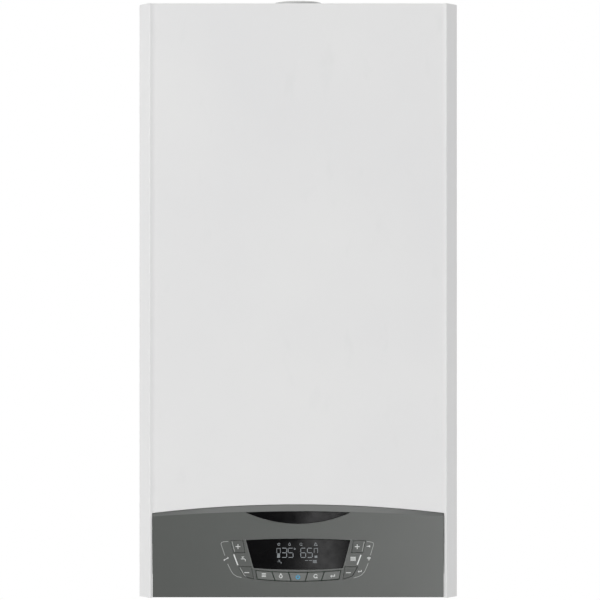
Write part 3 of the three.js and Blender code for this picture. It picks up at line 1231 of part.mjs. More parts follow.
// ---------------------------------------------------------------- assembly
piece("wall_bracket", wallBracket(), ZINC);
piece("back_frame", backFrame(), ZINC);
piece("top_plate", topPlate(), WHITE_PAINT);
piece("bottom_plate", basePlate(), ZINC);
piece("side_panel_left", sidePanel(-1), WHITE_PAINT);
piece("side_panel_right", sidePanel(1), WHITE_PAINT);
piece("front_cover", frontCover(), WHITE_PAINT);

piece("control_fascia", controlFascia(), GREY_PLASTIC);
piece("control_box", controlBox(), BLACK_PLASTIC);
piece("main_board", mainBoard(), GREEN_BOARD);
piece("display_module", displayModule(), GREEN_BOARD);
piece("display_window", displayWindow(), BLACK_GLASS);
piece("badge_insert", badgeInsert(), BLACK_GLASS);
for (const [name, outline] of Object.entries(SIDE_KEYS)) piece(name, keyCap(outline), GREY_PLASTIC);
ROW_KEYS.forEach((name, i) => piece(name, keyCap(grown(rowOutline(i, i + 1), -CLEARANCE)), GREY_PLASTIC));

piece("flue_spigot", flueSpigot(), PALE_PLASTIC);
piece("flue_duct", flueDuct(), PALE_PLASTIC);
piece("heat_exchanger_shell", heatExchangerShell(), STAINLESS);
piece("exchanger_coil", exchangerCoil(), STAINLESS);
piece("burner_door", burnerDoor(), CAST_ALUMINIUM);
piece("burner_tube", burnerTube(), STAINLESS);
piece("ignition_electrode", ignitionElectrode(), PALE_PLASTIC);
piece("fan_housing", fanHousing(), CAST_ALUMINIUM);
piece("fan_impeller", fanImpeller(), CAST_ALUMINIUM);
piece("fan_motor", fanMotor(), BLACK_PLASTIC);
piece("mixture_elbow", mixtureElbow(), CAST_ALUMINIUM);
piece("gas_mixer", gasMixer(), BLACK_PLASTIC);
piece("air_silencer", airSilencer(), BLACK_PLASTIC);
piece("gas_valve", gasValve(), CAST_ALUMINIUM);
piece("gas_pipe", gasPipe(), COPPER);

piece("expansion_vessel", expansionVessel(), RED_PAINT);
piece("vessel_hose", vesselHose(), STAINLESS);
piece("pump_body", pumpBody(), BLACK_PLASTIC);
piece("pump_impeller", pumpImpeller(), PALE_PLASTIC);
piece("pump_motor", pumpMotor(), GREY_PLASTIC);
piece("air_vent", airVent(), BRASS);
piece("return_pipe", returnPipe(), COPPER);
piece("flow_pipe", flowPipe(), COPPER);
piece("diverter_valve", diverterValve(), BRASS);
piece("diverter_spindle", diverterSpindle(), BRASS);
piece("diverter_motor", diverterMotor(), BLACK_PLASTIC);
piece("plate_heat_exchanger", plateHeatExchanger(), STAINLESS);
piece("heating_flow_tail", waterTail(diverterX, [[diverterX, tailY, DIVERTER_BOTTOM - CLEARANCE]]), COPPER);
piece("hot_water_tail", plateTail(-TAIL_PITCH), COPPER);
piece("cold_water_tail", plateTail(TAIL_PITCH), COPPER);
const pumpInlet = PUMP_Z - PUMP_RADIUS - PUMP_INLET_NECK - CLEARANCE;
piece("heating_return_tail", waterTail(pumpX, [[pumpX, tailY, pumpInlet]]), COPPER);

piece("condensate_trap", condensateTrap(), PALE_PLASTIC);
piece("pressure_gauge", pressureGauge(), BLACK_PLASTIC);
piece("gauge_needle", gaugeNeedle(), RED_PLASTIC);
piece("filling_tap", fillingTap(), BRASS);
piece("filling_tap_knob", fillingTapKnob(), BLUE_PLASTIC);
piece("safety_valve", safetyValve(), BRASS);
piece("safety_valve_knob", safetyValveKnob(), RED_PLASTIC);

export default boiler;
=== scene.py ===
import json
from math import cos, pi, radians, sin, sqrt, tan

import bmesh
import bpy
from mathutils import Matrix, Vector

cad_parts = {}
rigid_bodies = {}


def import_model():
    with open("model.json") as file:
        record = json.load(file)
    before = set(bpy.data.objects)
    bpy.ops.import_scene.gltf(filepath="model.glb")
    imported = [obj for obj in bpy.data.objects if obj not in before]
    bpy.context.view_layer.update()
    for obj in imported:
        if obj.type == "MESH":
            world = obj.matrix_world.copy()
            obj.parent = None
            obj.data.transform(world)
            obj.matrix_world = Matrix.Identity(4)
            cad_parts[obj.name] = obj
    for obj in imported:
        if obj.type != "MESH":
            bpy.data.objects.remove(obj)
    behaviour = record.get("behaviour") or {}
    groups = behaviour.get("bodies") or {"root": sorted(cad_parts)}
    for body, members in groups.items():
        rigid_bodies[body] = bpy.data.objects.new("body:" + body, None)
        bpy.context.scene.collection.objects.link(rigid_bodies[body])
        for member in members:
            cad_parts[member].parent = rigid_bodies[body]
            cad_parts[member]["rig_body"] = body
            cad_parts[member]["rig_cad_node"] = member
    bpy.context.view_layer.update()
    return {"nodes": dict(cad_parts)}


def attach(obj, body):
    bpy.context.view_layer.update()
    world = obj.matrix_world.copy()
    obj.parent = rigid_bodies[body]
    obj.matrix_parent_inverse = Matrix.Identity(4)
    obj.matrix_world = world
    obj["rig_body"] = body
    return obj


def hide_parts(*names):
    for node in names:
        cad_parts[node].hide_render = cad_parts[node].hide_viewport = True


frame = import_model()
nodes = frame["nodes"]

# Lengths are in millimetres. Heights are counted from the casing's bottom edge, which hangs
# 690 mm under the origin; x runs to the viewer's right and the front faces -y.
MM = 0.001
FOOT = -690
ROUND, SMALL_ROUND = 96, 48
DOUBLES = 1e-6
BEND_STEPS = 10
PANEL = "control_panel"

# ---------------------------------------- the workbench
def spot(x, y, z):
    return Vector((x, y, z + FOOT)) * MM


def only(piece):
    if bpy.context.object and bpy.context.object.mode != "OBJECT":
        bpy.ops.object.mode_set(mode="OBJECT")
    bpy.ops.object.select_all(action="DESELECT")
    piece.select_set(True)
    bpy.context.view_layer.objects.active = piece


def edit(piece, kind="VERT", choice="SELECT"):
    """Opens a piece for editing, with all of it selected or none of it."""
    only(piece)
    bpy.ops.object.mode_set(mode="EDIT")
    bpy.ops.mesh.select_mode(type=kind)
    bpy.ops.mesh.select_all(action=choice)


def pick(piece, test):
    """Selects the corners whose place, in millimetres, passes the test, and the edges between them."""
    mesh = bmesh.from_edit_mesh(piece.data)
    for corner in mesh.verts:
        corner.select_set(test(corner.co / MM - Vector((0, 0, FOOT))))
    mesh.select_flush(True)
    bmesh.update_edit_mesh(piece.data)


def close_up(piece):
    """Merges doubles, turns the faces outwards and leaves edit mode."""
    edit(piece)
    bpy.ops.mesh.remove_doubles(threshold=DOUBLES)
    bpy.ops.mesh.normals_make_consistent(inside=False)
    bpy.ops.object.mode_set(mode="OBJECT")
    return piece


def settle(piece):
    only(piece)
    bpy.ops.object.transform_apply(location=True, rotation=True, scale=True)
    return piece


def ready():
    """The piece just added, settled and open for editing."""
    piece = settle(bpy.context.object)
    edit(piece)
    return piece


def pull(move):
    bpy.ops.mesh.extrude_region_move(TRANSFORM_OT_translate={"value": move})


def again(piece):
    """One more of the same piece."""
    only(piece)
    bpy.ops.object.duplicate()
    return bpy.context.object


def modify(piece, kind, **settings):
    only(piece)
    bpy.ops.object.modifier_add(type=kind)
    change = piece.modifiers[-1]
    for setting, value in settings.items():
        setattr(change, setting, value)
    bpy.ops.object.modifier_apply(modifier=change.name)
    return piece


def block(x0, x1, y0, y1, z0, z1):
    centre = spot((x0 + x1) / 2, (y0 + y1) / 2, (z0 + z1) / 2)
    size = Vector((abs(x1 - x0), abs(y1 - y0), abs(z1 - z0))) * MM
    bpy.ops.mesh.primitive_cube_add(size=1, location=centre, scale=size)
    return settle(bpy.context.object)


TURNS = {"x": (0, pi / 2, 0), "y": (-pi / 2, 0, 0), "z": (0, 0, 0)}
ALONG = {"x": Vector((1, 0, 0)), "y": Vector((0, 1, 0)), "z": Vector((0, 0, 1))}


def axis_spot(axis, centre, along):
    a, b = centre
    return {"x": spot(along, a, b), "y": spot(a, along, b), "z": spot(a, b, along)}[axis]


def turned(axis, centre, profile, sides=ROUND):
    """A disc or ring drawn out along its axis and resized at each step of (radius, along)."""
    hollow = profile[0] == profile[-1]
    (radius, along), steps = profile[0], profile[1:]
    bpy.ops.mesh.primitive_circle_add(
        vertices=sides, radius=radius * MM, fill_type="NOTHING" if hollow else "NGON",
        location=axis_spot(axis, centre, along), rotation=TURNS[axis])
    piece = ready()
    for next_radius, next_along in steps:
        pull(ALONG[axis] * (next_along - along) * MM)
        scale = next_radius / radius
        size = [1 if ALONG[axis][i] else scale for i in range(3)]
        bpy.ops.transform.resize(value=size, center_override=axis_spot(axis, centre, next_along))
        radius, along = next_radius, next_along
    return close_up(piece)


def rod(axis, centre, radius, start, end, sides=ROUND):
    return turned(axis, centre, [(radius, start), (radius, end)], sides)


def facing(outline, back, front):
    """A plate that faces the front; one corner is pulled round its outline of (x, z)."""
    points = [spot(x, back, z) for x, z in outline]
    bpy.ops.mesh.primitive_plane_add(size=MM, location=points[0])
    piece = ready()
    bpy.ops.mesh.merge(type="CENTER")
    for start, end in zip(points, points[1:] + points[:1]):
        bpy.ops.mesh.extrude_vertices_move(TRANSFORM_OT_translate={"value": end - start})
    bpy.ops.mesh.select_all(action="SELECT")
    bpy.ops.mesh.remove_doubles(threshold=DOUBLES)
    bpy.ops.mesh.edge_face_add()
    pull((0, (front - back) * MM, 0))
    return close_up(piece)


def piped(route, radius, bend, sides=32):
    """A pipe: a disc drawn along the route and spun round each corner."""
    points = [spot(*point) for point in route]
    way = [(b - a).normalized() for a, b in zip(points, points[1:])]
    bpy.ops.mesh.primitive_circle_add(
        vertices=sides, radius=radius * MM, fill_type="NGON", location=points[0],
        rotation=way[0].to_track_quat("Z", "Y").to_euler())
    piece = ready()
    here = points[0]
    for i, corner in enumerate(points[1:]):
        last = i == len(points) - 2
        turn = 0 if last else way[i].angle(way[i + 1])
        setback = 0 if last else bend * MM * tan(turn / 2)
        stop = corner - way[i] * setback
        pull(stop - here)
        here = stop
        if not last:
            axis = way[i].cross(way[i + 1]).normalized()
            centre = stop + axis.cross(way[i]) * bend * MM
            bpy.ops.mesh.spin(steps=BEND_STEPS, angle=-turn, center=centre, axis=axis)
            here = corner + way[i + 1] * setback
    return close_up(piece)


def joined(*pieces):
    first = pieces[0]
    only(first)
    for piece in pieces[1:]:
        piece.select_set(True)
    bpy.ops.object.join()
    return first


def copies(piece, moves):
    """A piece joined with a copy of it for each move, in millimetres."""
    pieces = [piece]
    for move in moves:
        again(piece)
        bpy.ops.transform.translate(value=Vector(move) * MM)
        pieces.append(settle(bpy.context.object))
    return joined(*pieces)


def ring(axis, centre, circle, count, start, make):
    """A piece is made at one place of a ring, and copied to the others without turning it."""
    turns = [start + 2 * pi * i / count for i in range(count)]
    places = [(centre[0] + circle * cos(turn), centre[1] + circle * sin(turn)) for turn in turns]
    first, *others = [axis_spot(axis, place, 0) / MM for place in places]
    return copies(make(places[0]), [other - first for other in others])


def combine(piece, tool, operation):
    modify(piece, "BOOLEAN", operation=operation, solver="EXACT", object=tool)
    bpy.data.objects.remove(tool)
    return piece


def cut(piece, tool):
    return combine(piece, tool, "DIFFERENCE")


def soften(piece, radius, segments=2, angle=30):
    return modify(piece, "BEVEL", width=radius * MM, segments=segments, limit_method="ANGLE",
                  angle_limit=radians(angle), use_clamp_overlap=True)


def rounded(x0, x1, y0, y1, z0, z1, radius, segments=2):
    return soften(block(x0, x1, y0, y1, z0, z1), radius, segments)


def copied(node):
    """A copy of a CAD node, merged, with its flat faces made whole."""
    piece = again(nodes[node])
    bpy.ops.object.parent_clear(type="CLEAR_KEEP_TRANSFORM")
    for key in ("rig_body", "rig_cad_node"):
        del piece[key]
    piece.data.materials.clear()
    edit(piece)
    bpy.ops.mesh.remove_doubles(threshold=DOUBLES)
    bpy.ops.mesh.dissolve_limited(angle_limit=radians(0.5))
    bpy.ops.object.mode_set(mode="OBJECT")
    return piece


def placed(piece, name, look, *stands_for, body="casing", angle=35):
    """Names and finishes a piece, and says what carries it and which nodes it stands for."""
    material, slot = look
    only(piece)
    bpy.ops.object.shade_smooth_by_angle(angle=radians(angle))
    modify(piece, "WEIGHTED_NORMAL", keep_sharp=True)
    piece.name = name
    piece.data.name = name
    piece.data.materials.clear()
    piece.data.materials.append(material)
    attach(piece, body)
    if stands_for:
        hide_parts(*stands_for)


def dressed(node, name, look, radius, segments=2, fold=30, **how):
    """A CAD node's own shape, with its folds and edges rounded."""
    placed(soften(copied(node), radius, segments, fold), name, look, node, **how)


def made_of(look, node, body="casing", angle=35):
    """Builds the shape of the function below it, and places it under that function's name."""
    def build(shape):
        placed(shape(), shape.__name__, look, node, body=body, angle=angle)
    return build


# ---------------------------------------- finishes
# Colours are written as a screen shows them, 0 to 255.
DUST = (176, 170, 160)
NOISE_ROUGHNESS = 0.55
MIX_SHARE, MIX_FIRST, MIX_SECOND, MIX_COLOUR = 0, 6, 7, 2
SCUFF_STRETCH = (1, 1, 0.25)


def tone(red, green, blue):
    """Makes a screen's colour linear."""
    shares = [channel / 255 for channel in (red, green, blue)]
    return [s / 12.92 if s < 0.04045 else ((s + 0.055) / 1.055) ** 2.4 for s in shares] + [1]


def maths(tree, operation, first, second):
    node = tree.nodes.new("ShaderNodeMath")
    node.operation = operation
    tree.links.new(first, node.inputs[0])
    tree.links.new(second, node.inputs[1])
    return node.outputs["Value"]


class Finish:
    """Nodes of one finish, wired from the surface's own place on the object."""

    def __init__(self, name, roughness, metallic=0.0, **sockets):
        self.material = bpy.data.materials.new(name)
        self.material.use_nodes = True
        self.tree = self.material.node_tree
        self.shader = self.tree.nodes["Principled BSDF"]
        for socket, value in {"Metallic": metallic, "Roughness": roughness, **sockets}.items():
            self.shader.inputs[socket.replace("_", " ")].default_value = value
        self.place = self.add("ShaderNodeTexCoord").outputs["Object"]
        self.height = None

    def add(self, kind, sockets=None, **values):
        node = self.tree.nodes.new(kind)
        for key, value in values.items():
            setattr(node, key, value)
        for socket, value in (sockets or {}).items():
            node.inputs[socket].default_value = value
        return node

    def link(self, start, end):
        self.tree.links.new(start, end)

    def noise(self, scale, detail, stretch=(1, 1, 1)):
        mapping = self.add("ShaderNodeMapping", {"Scale": stretch})
        self.link(self.place, mapping.inputs["Vector"])
        noise = self.add("ShaderNodeTexNoise",
                         {"Scale": scale, "Detail": detail, "Roughness": NOISE_ROUGHNESS})
        self.link(mapping.outputs["Vector"], noise.inputs["Vector"])
        return noise.outputs["Fac"]

    def spread(self, source, to=(0, 1), since=(0.3, 0.7)):
        """Maps a value's range onto another, and holds it at the ends."""
        fit = self.add("ShaderNodeMapRange", {
            "From Min": since[0], "From Max": since[1], "To Min": to[0], "To Max": to[1]})
        self.link(source, fit.inputs["Value"])
        return fit.outputs["Result"]

    def blend(self, share, first, second):
        """A colour between two, each a colour or another node's output."""
        mix = self.add("ShaderNodeMix", data_type="RGBA")
        self.link(share, mix.inputs[MIX_SHARE])
        for socket, colour in ((MIX_FIRST, first), (MIX_SECOND, second)):
            if isinstance(colour, tuple):
                mix.inputs[socket].default_value = tone(*colour)
            else:
                self.link(colour, mix.inputs[socket])
        return mix.outputs[MIX_COLOUR]

    def worn(self, colour, under, share, since, *noise):
        """Lets another colour through, up to that share, where a noise is high."""
        return self.blend(self.spread(self.noise(*noise), (0, share), since), colour, under)

    def raise_by(self, source, depth):
        """Adds relief of that depth, in millimetres."""
        bump = self.add("ShaderNodeBump", {"Distance": depth * MM, "Strength": 1})
        self.link(source, bump.inputs["Height"])
        if self.height:
            self.link(self.height, bump.inputs["Normal"])
        self.height = bump.outputs["Normal"]

    def upward(self):
        """How far the surface looks upwards on the hung boiler, from -1 to 1."""
        parts = self.add("ShaderNodeSeparateXYZ")
        self.link(self.add("ShaderNodeTexCoord").outputs["Normal"], parts.inputs["Vector"])
        return parts.outputs["Z"]

    def dusty(self, colour, amount):
        """Settled dust, only where a surface looks upwards."""
        level = self.spread(self.upward(), (0, amount), (0.5, 0.98))
        patches = self.spread(self.noise(60, 6), (0.2, 1), (0.35, 0.7))
        return self.blend(maths(self.tree, "MULTIPLY", level, patches), colour, DUST)

    def finished(self, colour, gloss, *noise):
        """Wires the colour and the relief, and a roughness that drifts between two."""
        self.link(colour, self.shader.inputs["Base Color"])
        self.link(self.spread(self.noise(*noise), gloss), self.shader.inputs["Roughness"])
        self.link(self.height, self.shader.inputs["Normal"])
        return self.material


def powder_coat():
    """The casing's white paint: a fine orange peel, faintly uneven gloss, rubbed in patches."""
    f = Finish("powder_coat", 0.48, Specular_IOR_Level=0.28)
    colour = f.blend(f.spread(f.noise(3.5, 3)), (225, 225, 225), (229, 229, 228))
    colour = f.worn(colour, (219, 220, 219), 0.35, (0.6, 0.74), 38, 8, (1, 1, 0.4))
    colour = f.dusty(colour, 0.15)
    f.raise_by(f.noise(420, 2), 0.012)
    f.raise_by(f.noise(70, 2), 0.01)
    return f.finished(colour, (0.43, 0.55), 9, 6)


def moulded(name, dark, light, gloss, grain=0.012, dust=0.3):
    """Moulded plastic: spark-eroded grain, slow shade changes and faint handling scuffs."""
    f = Finish(name, sum(gloss) / 2)
    colour = f.blend(f.spread(f.noise(14, 5)), dark, light)
    colour = f.worn(colour, (150, 150, 146), 0.25, (0.64, 0.78), 160, 9, SCUFF_STRETCH)
    colour = f.dusty(colour, dust)
    f.raise_by(f.noise(1600, 3), grain)
    return f.finished(colour, gloss, 45, 7)


def fascia_lacquer_with_painted_highlight():
    """The fascia's grey lacquer, with a painted highlight: the band that slopes back under the arch is
    painted a shade lighter where it faces upwards, in place of light from above.
    """
    f = Finish("fascia_grey_painted_band_highlight", 0.3)
    colour = f.blend(f.spread(f.noise(14, 5)), (66, 69, 66), (69, 72, 69))
    # Painted highlight: surfaces that face upwards, the sloping band under the arch, are painted lighter in
    # place of light from above.
    colour = f.blend(f.spread(f.upward(), since=(0.06, 0.12)), colour, (90, 92, 90))
    colour = f.worn(colour, (140, 141, 138), 0.2, (0.68, 0.8), 160, 9, SCUFF_STRETCH)
    f.raise_by(f.noise(1600, 3), 0.008)
    return f.finished(colour, (0.28, 0.3), 45, 4)


def lens_black():
    """Gloss black lens over the display and the badge, with faint wiping marks."""
    f = Finish("lens_black", 0.06, IOR=1.45, Specular_IOR_Level=0.05)
    colour = f.worn((3, 3, 4), (9, 9, 10), 0.5, (0.4, 0.75), 24, 6, (1, 1, 3))
    f.raise_by(f.noise(30, 2), 0.002)
    return f.finished(colour, (0.05, 0.1), 90, 6)


def printed(name, colour, thinned, glow=0.0):
    """Screen-printed ink, thinned in places by wiping."""
    f = Finish(name, 0.5)
    ink = f.worn(colour, thinned, 0.5, (0.55, 0.8), 220, 6)
    f.raise_by(f.noise(1800, 2), 0.006)
    if glow:
        f.shader.inputs["Emission Color"].default_value = tone(*colour)
        f.shader.inputs["Emission Strength"].default_value = glow
    return f.finished(ink, (0.42, 0.6), 300, 3)


def zinc_sheet():
    """Galvanised sheet: crystals of slightly different grey, with duller handling marks."""
    f = Finish("zinc_sheet", 0.5, 0.9)
    crystals = f.add("ShaderNodeTexVoronoi", {"Scale": 210, "Randomness": 1})
    f.link(f.place, crystals.inputs["Vector"])
    shade = f.add("ShaderNodeRGBToBW")
    f.link(crystals.outputs["Color"], shade.inputs["Color"])
    grey = shade.outputs["Val"]
    colour = f.blend(f.spread(grey, since=(0.2, 0.8)), (166, 170, 173), (180, 184, 187))
    colour = f.worn(colour, (148, 149, 146), 0.5, (0.56, 0.72), 22, 7)
    colour = f.dusty(colour, 0.4)
    f.raise_by(grey, 0.003)
    f.raise_by(f.noise(900, 3), 0.008)
    return f.finished(colour, (0.46, 0.62), 30, 6)


def metal(name, dark, light, gloss, stretch=(1, 1, 1), grain=700, depth=0.01, stain=None, share=0.5):
    """Bare metal: drawn, turned or cast grain along one direction, tarnished in soft patches."""
    f = Finish(name, sum(gloss) / 2, 1.0)
    lines = f.noise(grain, 4, stretch)
    colour = f.blend(f.spread(lines), dark, light)
    colour = f.worn(colour, stain or dark, share, (0.52, 0.7), 18, 8)
    colour = f.dusty(colour, 0.35)
    f.raise_by(lines, depth)
    return f.finished(colour, gloss, 35, 6)


def enamelled(name, dark, light):
    """Sprayed gloss paint with a wavy skin and chips down to a duller coat."""
    f = Finish(name, 0.4, Coat_Weight=0.15, Coat_Roughness=0.3)
    colour = f.blend(f.spread(f.noise(6, 4)), dark, light)
    colour = f.worn(colour, (96, 40, 36), 0.6, (0.68, 0.72), 120, 8)
    colour = f.dusty(colour, 0.4)
    f.raise_by(f.noise(160, 2), 0.03)
    return f.finished(colour, (0.36, 0.52), 20, 5)


def circuit_board():
    """Solder mask over copper tracks that show as a slightly raised, lighter net."""
    f = Finish("circuit_board", 0.4)
    tracks = f.add("ShaderNodeTexBrick", {"Scale": 60, "Mortar Size": 0.03}, offset=0.37, squash=0.6)
    upright = f.add("ShaderNodeMapping", {"Rotation": (pi / 2, 0, 0)})
    f.link(f.place, upright.inputs["Vector"])
    f.link(upright.outputs["Vector"], tracks.inputs["Vector"])
    net = tracks.outputs["Fac"]
    colour = f.blend(net, (34, 82, 52), (58, 112, 74))
    colour = f.worn(colour, (28, 66, 44), 0.4, (0.5, 0.75), 30, 5)
    f.raise_by(net, 0.02)
    return f.finished(colour, (0.32, 0.5), 80, 4)


# Each look is a finish and the material slot that it fills.
KEY_GLOSS, CASE_GLOSS = (0.3, 0.38), (0.4, 0.55)
PAINT = powder_coat(), "white_paint"
FASCIA = fascia_lacquer_with_painted_highlight(), "fascia_plastic"
KEYS = moulded("key_grey", (61, 64, 61), (67, 70, 67), KEY_GLOSS, 0.006, 0.15), "key_plastic"
# The curved row's keys are the same grey plastic as the other keys, painted a lighter grey as a painted
# highlight for the light that falls on the row.
ROW_KEYS_PAINTED_LIT = moulded("row_key_grey_painted_lit", (86, 89, 86), (94, 97, 94), KEY_GLOSS, 0.006, 0.15), "key_plastic"
BLACK = moulded("black_moulding", (25, 26, 27), (35, 36, 37), (0.42, 0.6), 0.02, 0.25), "black_plastic"
GREY = moulded("grey_moulding", (84, 87, 86), (96, 98, 96), (0.42, 0.58), 0.02), "grey_plastic"
PALE = moulded("pale_moulding", (202, 202, 196), (212, 212, 206), (0.42, 0.56), 0.015), "pale_plastic"
FLUE = moulded("flue_moulding", (196, 197, 196), (208, 209, 208), CASE_GLOSS, 0.015), "pale_plastic"
BLUE = moulded("blue_moulding", (36, 86, 150), (46, 98, 162), CASE_GLOSS, 0.015), "blue_plastic"
RED = moulded("red_moulding", (168, 38, 32), (184, 46, 38), CASE_GLOSS, 0.015), "red_plastic"
LENS = lens_black(), "display_glass"
ZINC = zinc_sheet(), "zinc_steel"
BOARD = circuit_board(), "circuit_board"
VESSEL_RED = enamelled("vessel_red", (146, 28, 26), (160, 34, 30)), "red_paint"
STEEL = metal("stainless_steel", (176, 177, 176), (206, 206, 203), (0.26, 0.42), (1, 0.06, 1)), "stainless"
COIL = metal("coil_steel", (150, 140, 124), (190, 182, 168), (0.3, 0.46), (1, 0.3, 1), 500, 0.01,
             (128, 104, 78), 0.6), "coil_tube"
CAST = metal("cast_aluminium", (150, 152, 154), (178, 180, 181), (0.5, 0.68), (1, 1, 1), 900,
             0.05), "cast_aluminium"
COPPER = metal("drawn_copper", (176, 104, 68), (200, 128, 92), (0.26, 0.44), (1, 1, 0.1), 500, 0.006,
               (132, 74, 48), 0.6), "copper"
BRASS = metal("turned_brass", (170, 136, 68), (196, 162, 92), (0.26, 0.42), (1, 1, 0.2), 700, 0.008,
              (132, 104, 56), 0.5), "brass"
INK = printed("panel_ink", (214, 216, 214), (176, 178, 176)), "pale_plastic"
# The dim ink prints the guide lines, and also paints the highlights along some key edges.
DIM_INK_AND_EDGE_HIGHLIGHT = printed("panel_ink_dim_and_edge_highlight", (158, 161, 158), (136, 138, 136)), "pale_plastic"
BLUE_INK = printed("power_mark_blue", (44, 154, 196), (40, 124, 160)), "blue_plastic"
LCD = printed("lit_segments", (144, 149, 152), (122, 128, 132), 0.04), "pale_plastic"
TRIM = printed("trim_grey", (96, 98, 96), (88, 90, 88)), "fascia_plastic"

# ---------------------------------------- casing
FRONT, FOLD, CORNER, CORNER_Y = -317, 186, 200, -299
FRONT_REACH, CLOSE_BY = 2, 0.2
ROLL, ROLL_RISE, ROLL_STEPS = 7.6, 2.1, 5
FOLD_ROUND, FOLD_SEGMENTS = 1.3, 5
REAR_FACE, TOP_FACE = -4.5, 745
HEAD_RISE, CROSS_WIDTH, CROSS_DEEP, CROSS_LONG = 2.1, 0.5, 0.8, 2.4


def roll_forward(piece):
    """Beside each fold the front sheet rolls forward in a shallow curve."""
    edit(piece)
    for side in (-1, 1):
        for step in range(1, ROLL_STEPS + 1):
            bpy.ops.mesh.select_all(action="SELECT")
            bpy.ops.mesh.bisect(plane_co=(side * (FOLD - ROLL * step / ROLL_STEPS) * MM, 0, 0),
                                plane_no=(1, 0, 0))
    only(piece)
    front = FRONT + FRONT_REACH
    levels = {round(abs(v.co.x) / MM, 1) for v in piece.data.vertices if v.co.y < front * MM}
    edit(piece)
    for x in sorted(levels):
        rise = ROLL_RISE * max(0, 1 - (FOLD - x) / ROLL) ** 2
        pick(piece, lambda place: abs(abs(place.x) - x) < 0.06 and place.y < front)
        bpy.ops.transform.translate(value=(0, -rise * MM, 0))


def screw_head(x, y, z, axis):
    """A pan head with a cross recess, pressed on the sheet that it holds."""
    centre, face = ((x, z), y) if axis == "y" else ((x, y), z)
    head = turned(axis, centre, [(4, face - 0.3), (4, face + 1.1), (3.2, face + HEAD_RISE)], 24)
    for turn in (0, pi / 2):
        tool = block(-CROSS_WIDTH, CROSS_WIDTH, -CROSS_DEEP, CROSS_DEEP,
                     -FOOT - CROSS_LONG, -FOOT + CROSS_LONG)
        tool.rotation_euler = (0, turn, 0) if axis == "y" else (pi / 2, 0, turn)
        tool.location = axis_spot(axis, centre, face + HEAD_RISE)
        cut(head, settle(tool))
    return head


def screw_row(axis, places):
    """One screw is made, and copied to the other places."""
    first, *others = [Vector(place) for place in places]
    return copies(screw_head(*first, axis), [other - first for other in others])


for side in ("left", "right"):
    dressed(f"side_panel_{side}", f"side_panel_{side}_sheet", PAINT, 0.3, 2, 40)


@made_of(PAINT, "front_cover", body="cover")
def front_cover_sheet():
    """One folded sheet: crisp bevels down both sides, its folds rounded like pressed steel."""
    sheet = copied("front_cover")
    roll_forward(sheet)
    for x, y in ((FOLD, FRONT - ROLL_RISE), (CORNER, CORNER_Y)):
        edit(sheet, "EDGE", "DESELECT")
        pick(sheet, lambda end: abs(abs(end.x) - x) < CLOSE_BY and abs(end.y - y) < CLOSE_BY)
        bpy.ops.mesh.bevel(offset=FOLD_ROUND * MM, segments=FOLD_SEGMENTS, profile=0.5)
    return soften(close_up(sheet), 0.35, 2, 50)


dressed("top_plate", "top_sheet", PAINT, 0.35, 2, 50)
dressed("back_frame", "rear_frame", ZINC, 0.25, 2, 50)
dressed("bottom_plate", "base_sheet", ZINC, 0.2, 2, 40)
dressed("wall_bracket", "hanging_bracket", ZINC, 0.4, 2, 50)
rear_places = [(x, REAR_FACE, z) for x in (-180, 180) for z in (60, 270, 480, 700)]
placed(screw_row("y", rear_places), "rear_screws", STEEL)
top_places = [(x, y, TOP_FACE) for x in (-186, 186) for y in (-30, -240)]
placed(screw_row("z", top_places), "top_screws", STEEL)

# ---------------------------------------- control panel
PANEL_FRONT = -319
LENS_FRONT, WINDOW_BACK, BADGE_BACK = -319.28, -316.3, -317.8
KEY_FRONT, KEY_BACK, STEM_FRONT, STEM_BACK = -319.62, -316.9, -317.2, -311.9
PLUS_KEY = [(-84.7, 71.8), (-80.6, 56.6), (-66.8, 56.8), (-69.2, 72.1)]
MINUS_KEY = [(-74.4, 39.1), (-67.9, 27.3), (-56.1, 23.6), (-58.5, 39.1)]
# The curved row of keys: its slanted dividers, and how its edges hang between their ends.
TOP_DIVIDERS = (-53.5, -32.8, -12, 12, 32.8, 53.5)
BOTTOM_DIVIDERS = (-51.3, -29.1, -8.9, 8.9, 29.1, 51.3)
ROW_HALF, ROW_GAP = 53.5, 0.45
ROW_TOP, ROW_TOP_SAG, ROW_BOTTOM, ROW_BOTTOM_SAG = 34.5, 2.4, 23.6, 2.9


def flipped(points):
    return [(-x, z) for x, z in reversed(points)]


def hung(x, ends, sag, half):
    return ends - sag * (1 - (x / half) ** 2)


def across(half, steps):
    return [half - 2 * half * i / steps for i in range(steps + 1)]


def arched_edge(half, top, sag, steps=24):
    """Points of a shallow circular arch, from right to left."""
    radius = (half * half + sag * sag) / (2 * sag)
    return [(x, top - radius + sqrt(radius * radius - x * x)) for x in across(half, steps)]


def hung_edge(half, ends, sag, steps=24):
    """Points of an edge that hangs between its ends, from left to right."""
    return [(x, hung(x, ends, sag, half)) for x in across(half, steps)[::-1]]


def row_key(first):
    """Outline of one key of the curved row, from its slanted divider to the next."""
    def run(dividers, ends, sag, steps=6):
        left, right = dividers[first] + ROW_GAP, dividers[first + 1] - ROW_GAP
        xs = [left + (right - left) * i / steps for i in range(steps + 1)]
        return [(x, hung(x, ends, sag, ROW_HALF)) for x in xs]
    low = [(x, z + ROW_GAP) for x, z in run(BOTTOM_DIVIDERS, ROW_BOTTOM, ROW_BOTTOM_SAG)]
    high = [(x, z - ROW_GAP) for x, z in run(TOP_DIVIDERS, ROW_TOP, ROW_TOP_SAG)]
    return low + high[::-1]


def key_cap(outline):
    cap = facing(outline, KEY_BACK, KEY_FRONT)
    stem_x = sum(x for x, z in outline) / len(outline)
    stem_z = sum(z for x, z in outline) / len(outline)
    stem = rod("y", (stem_x, stem_z), 1.5, STEM_FRONT, STEM_BACK, 20)
    return joined(soften(cap, 0.7, 3, 35), stem)


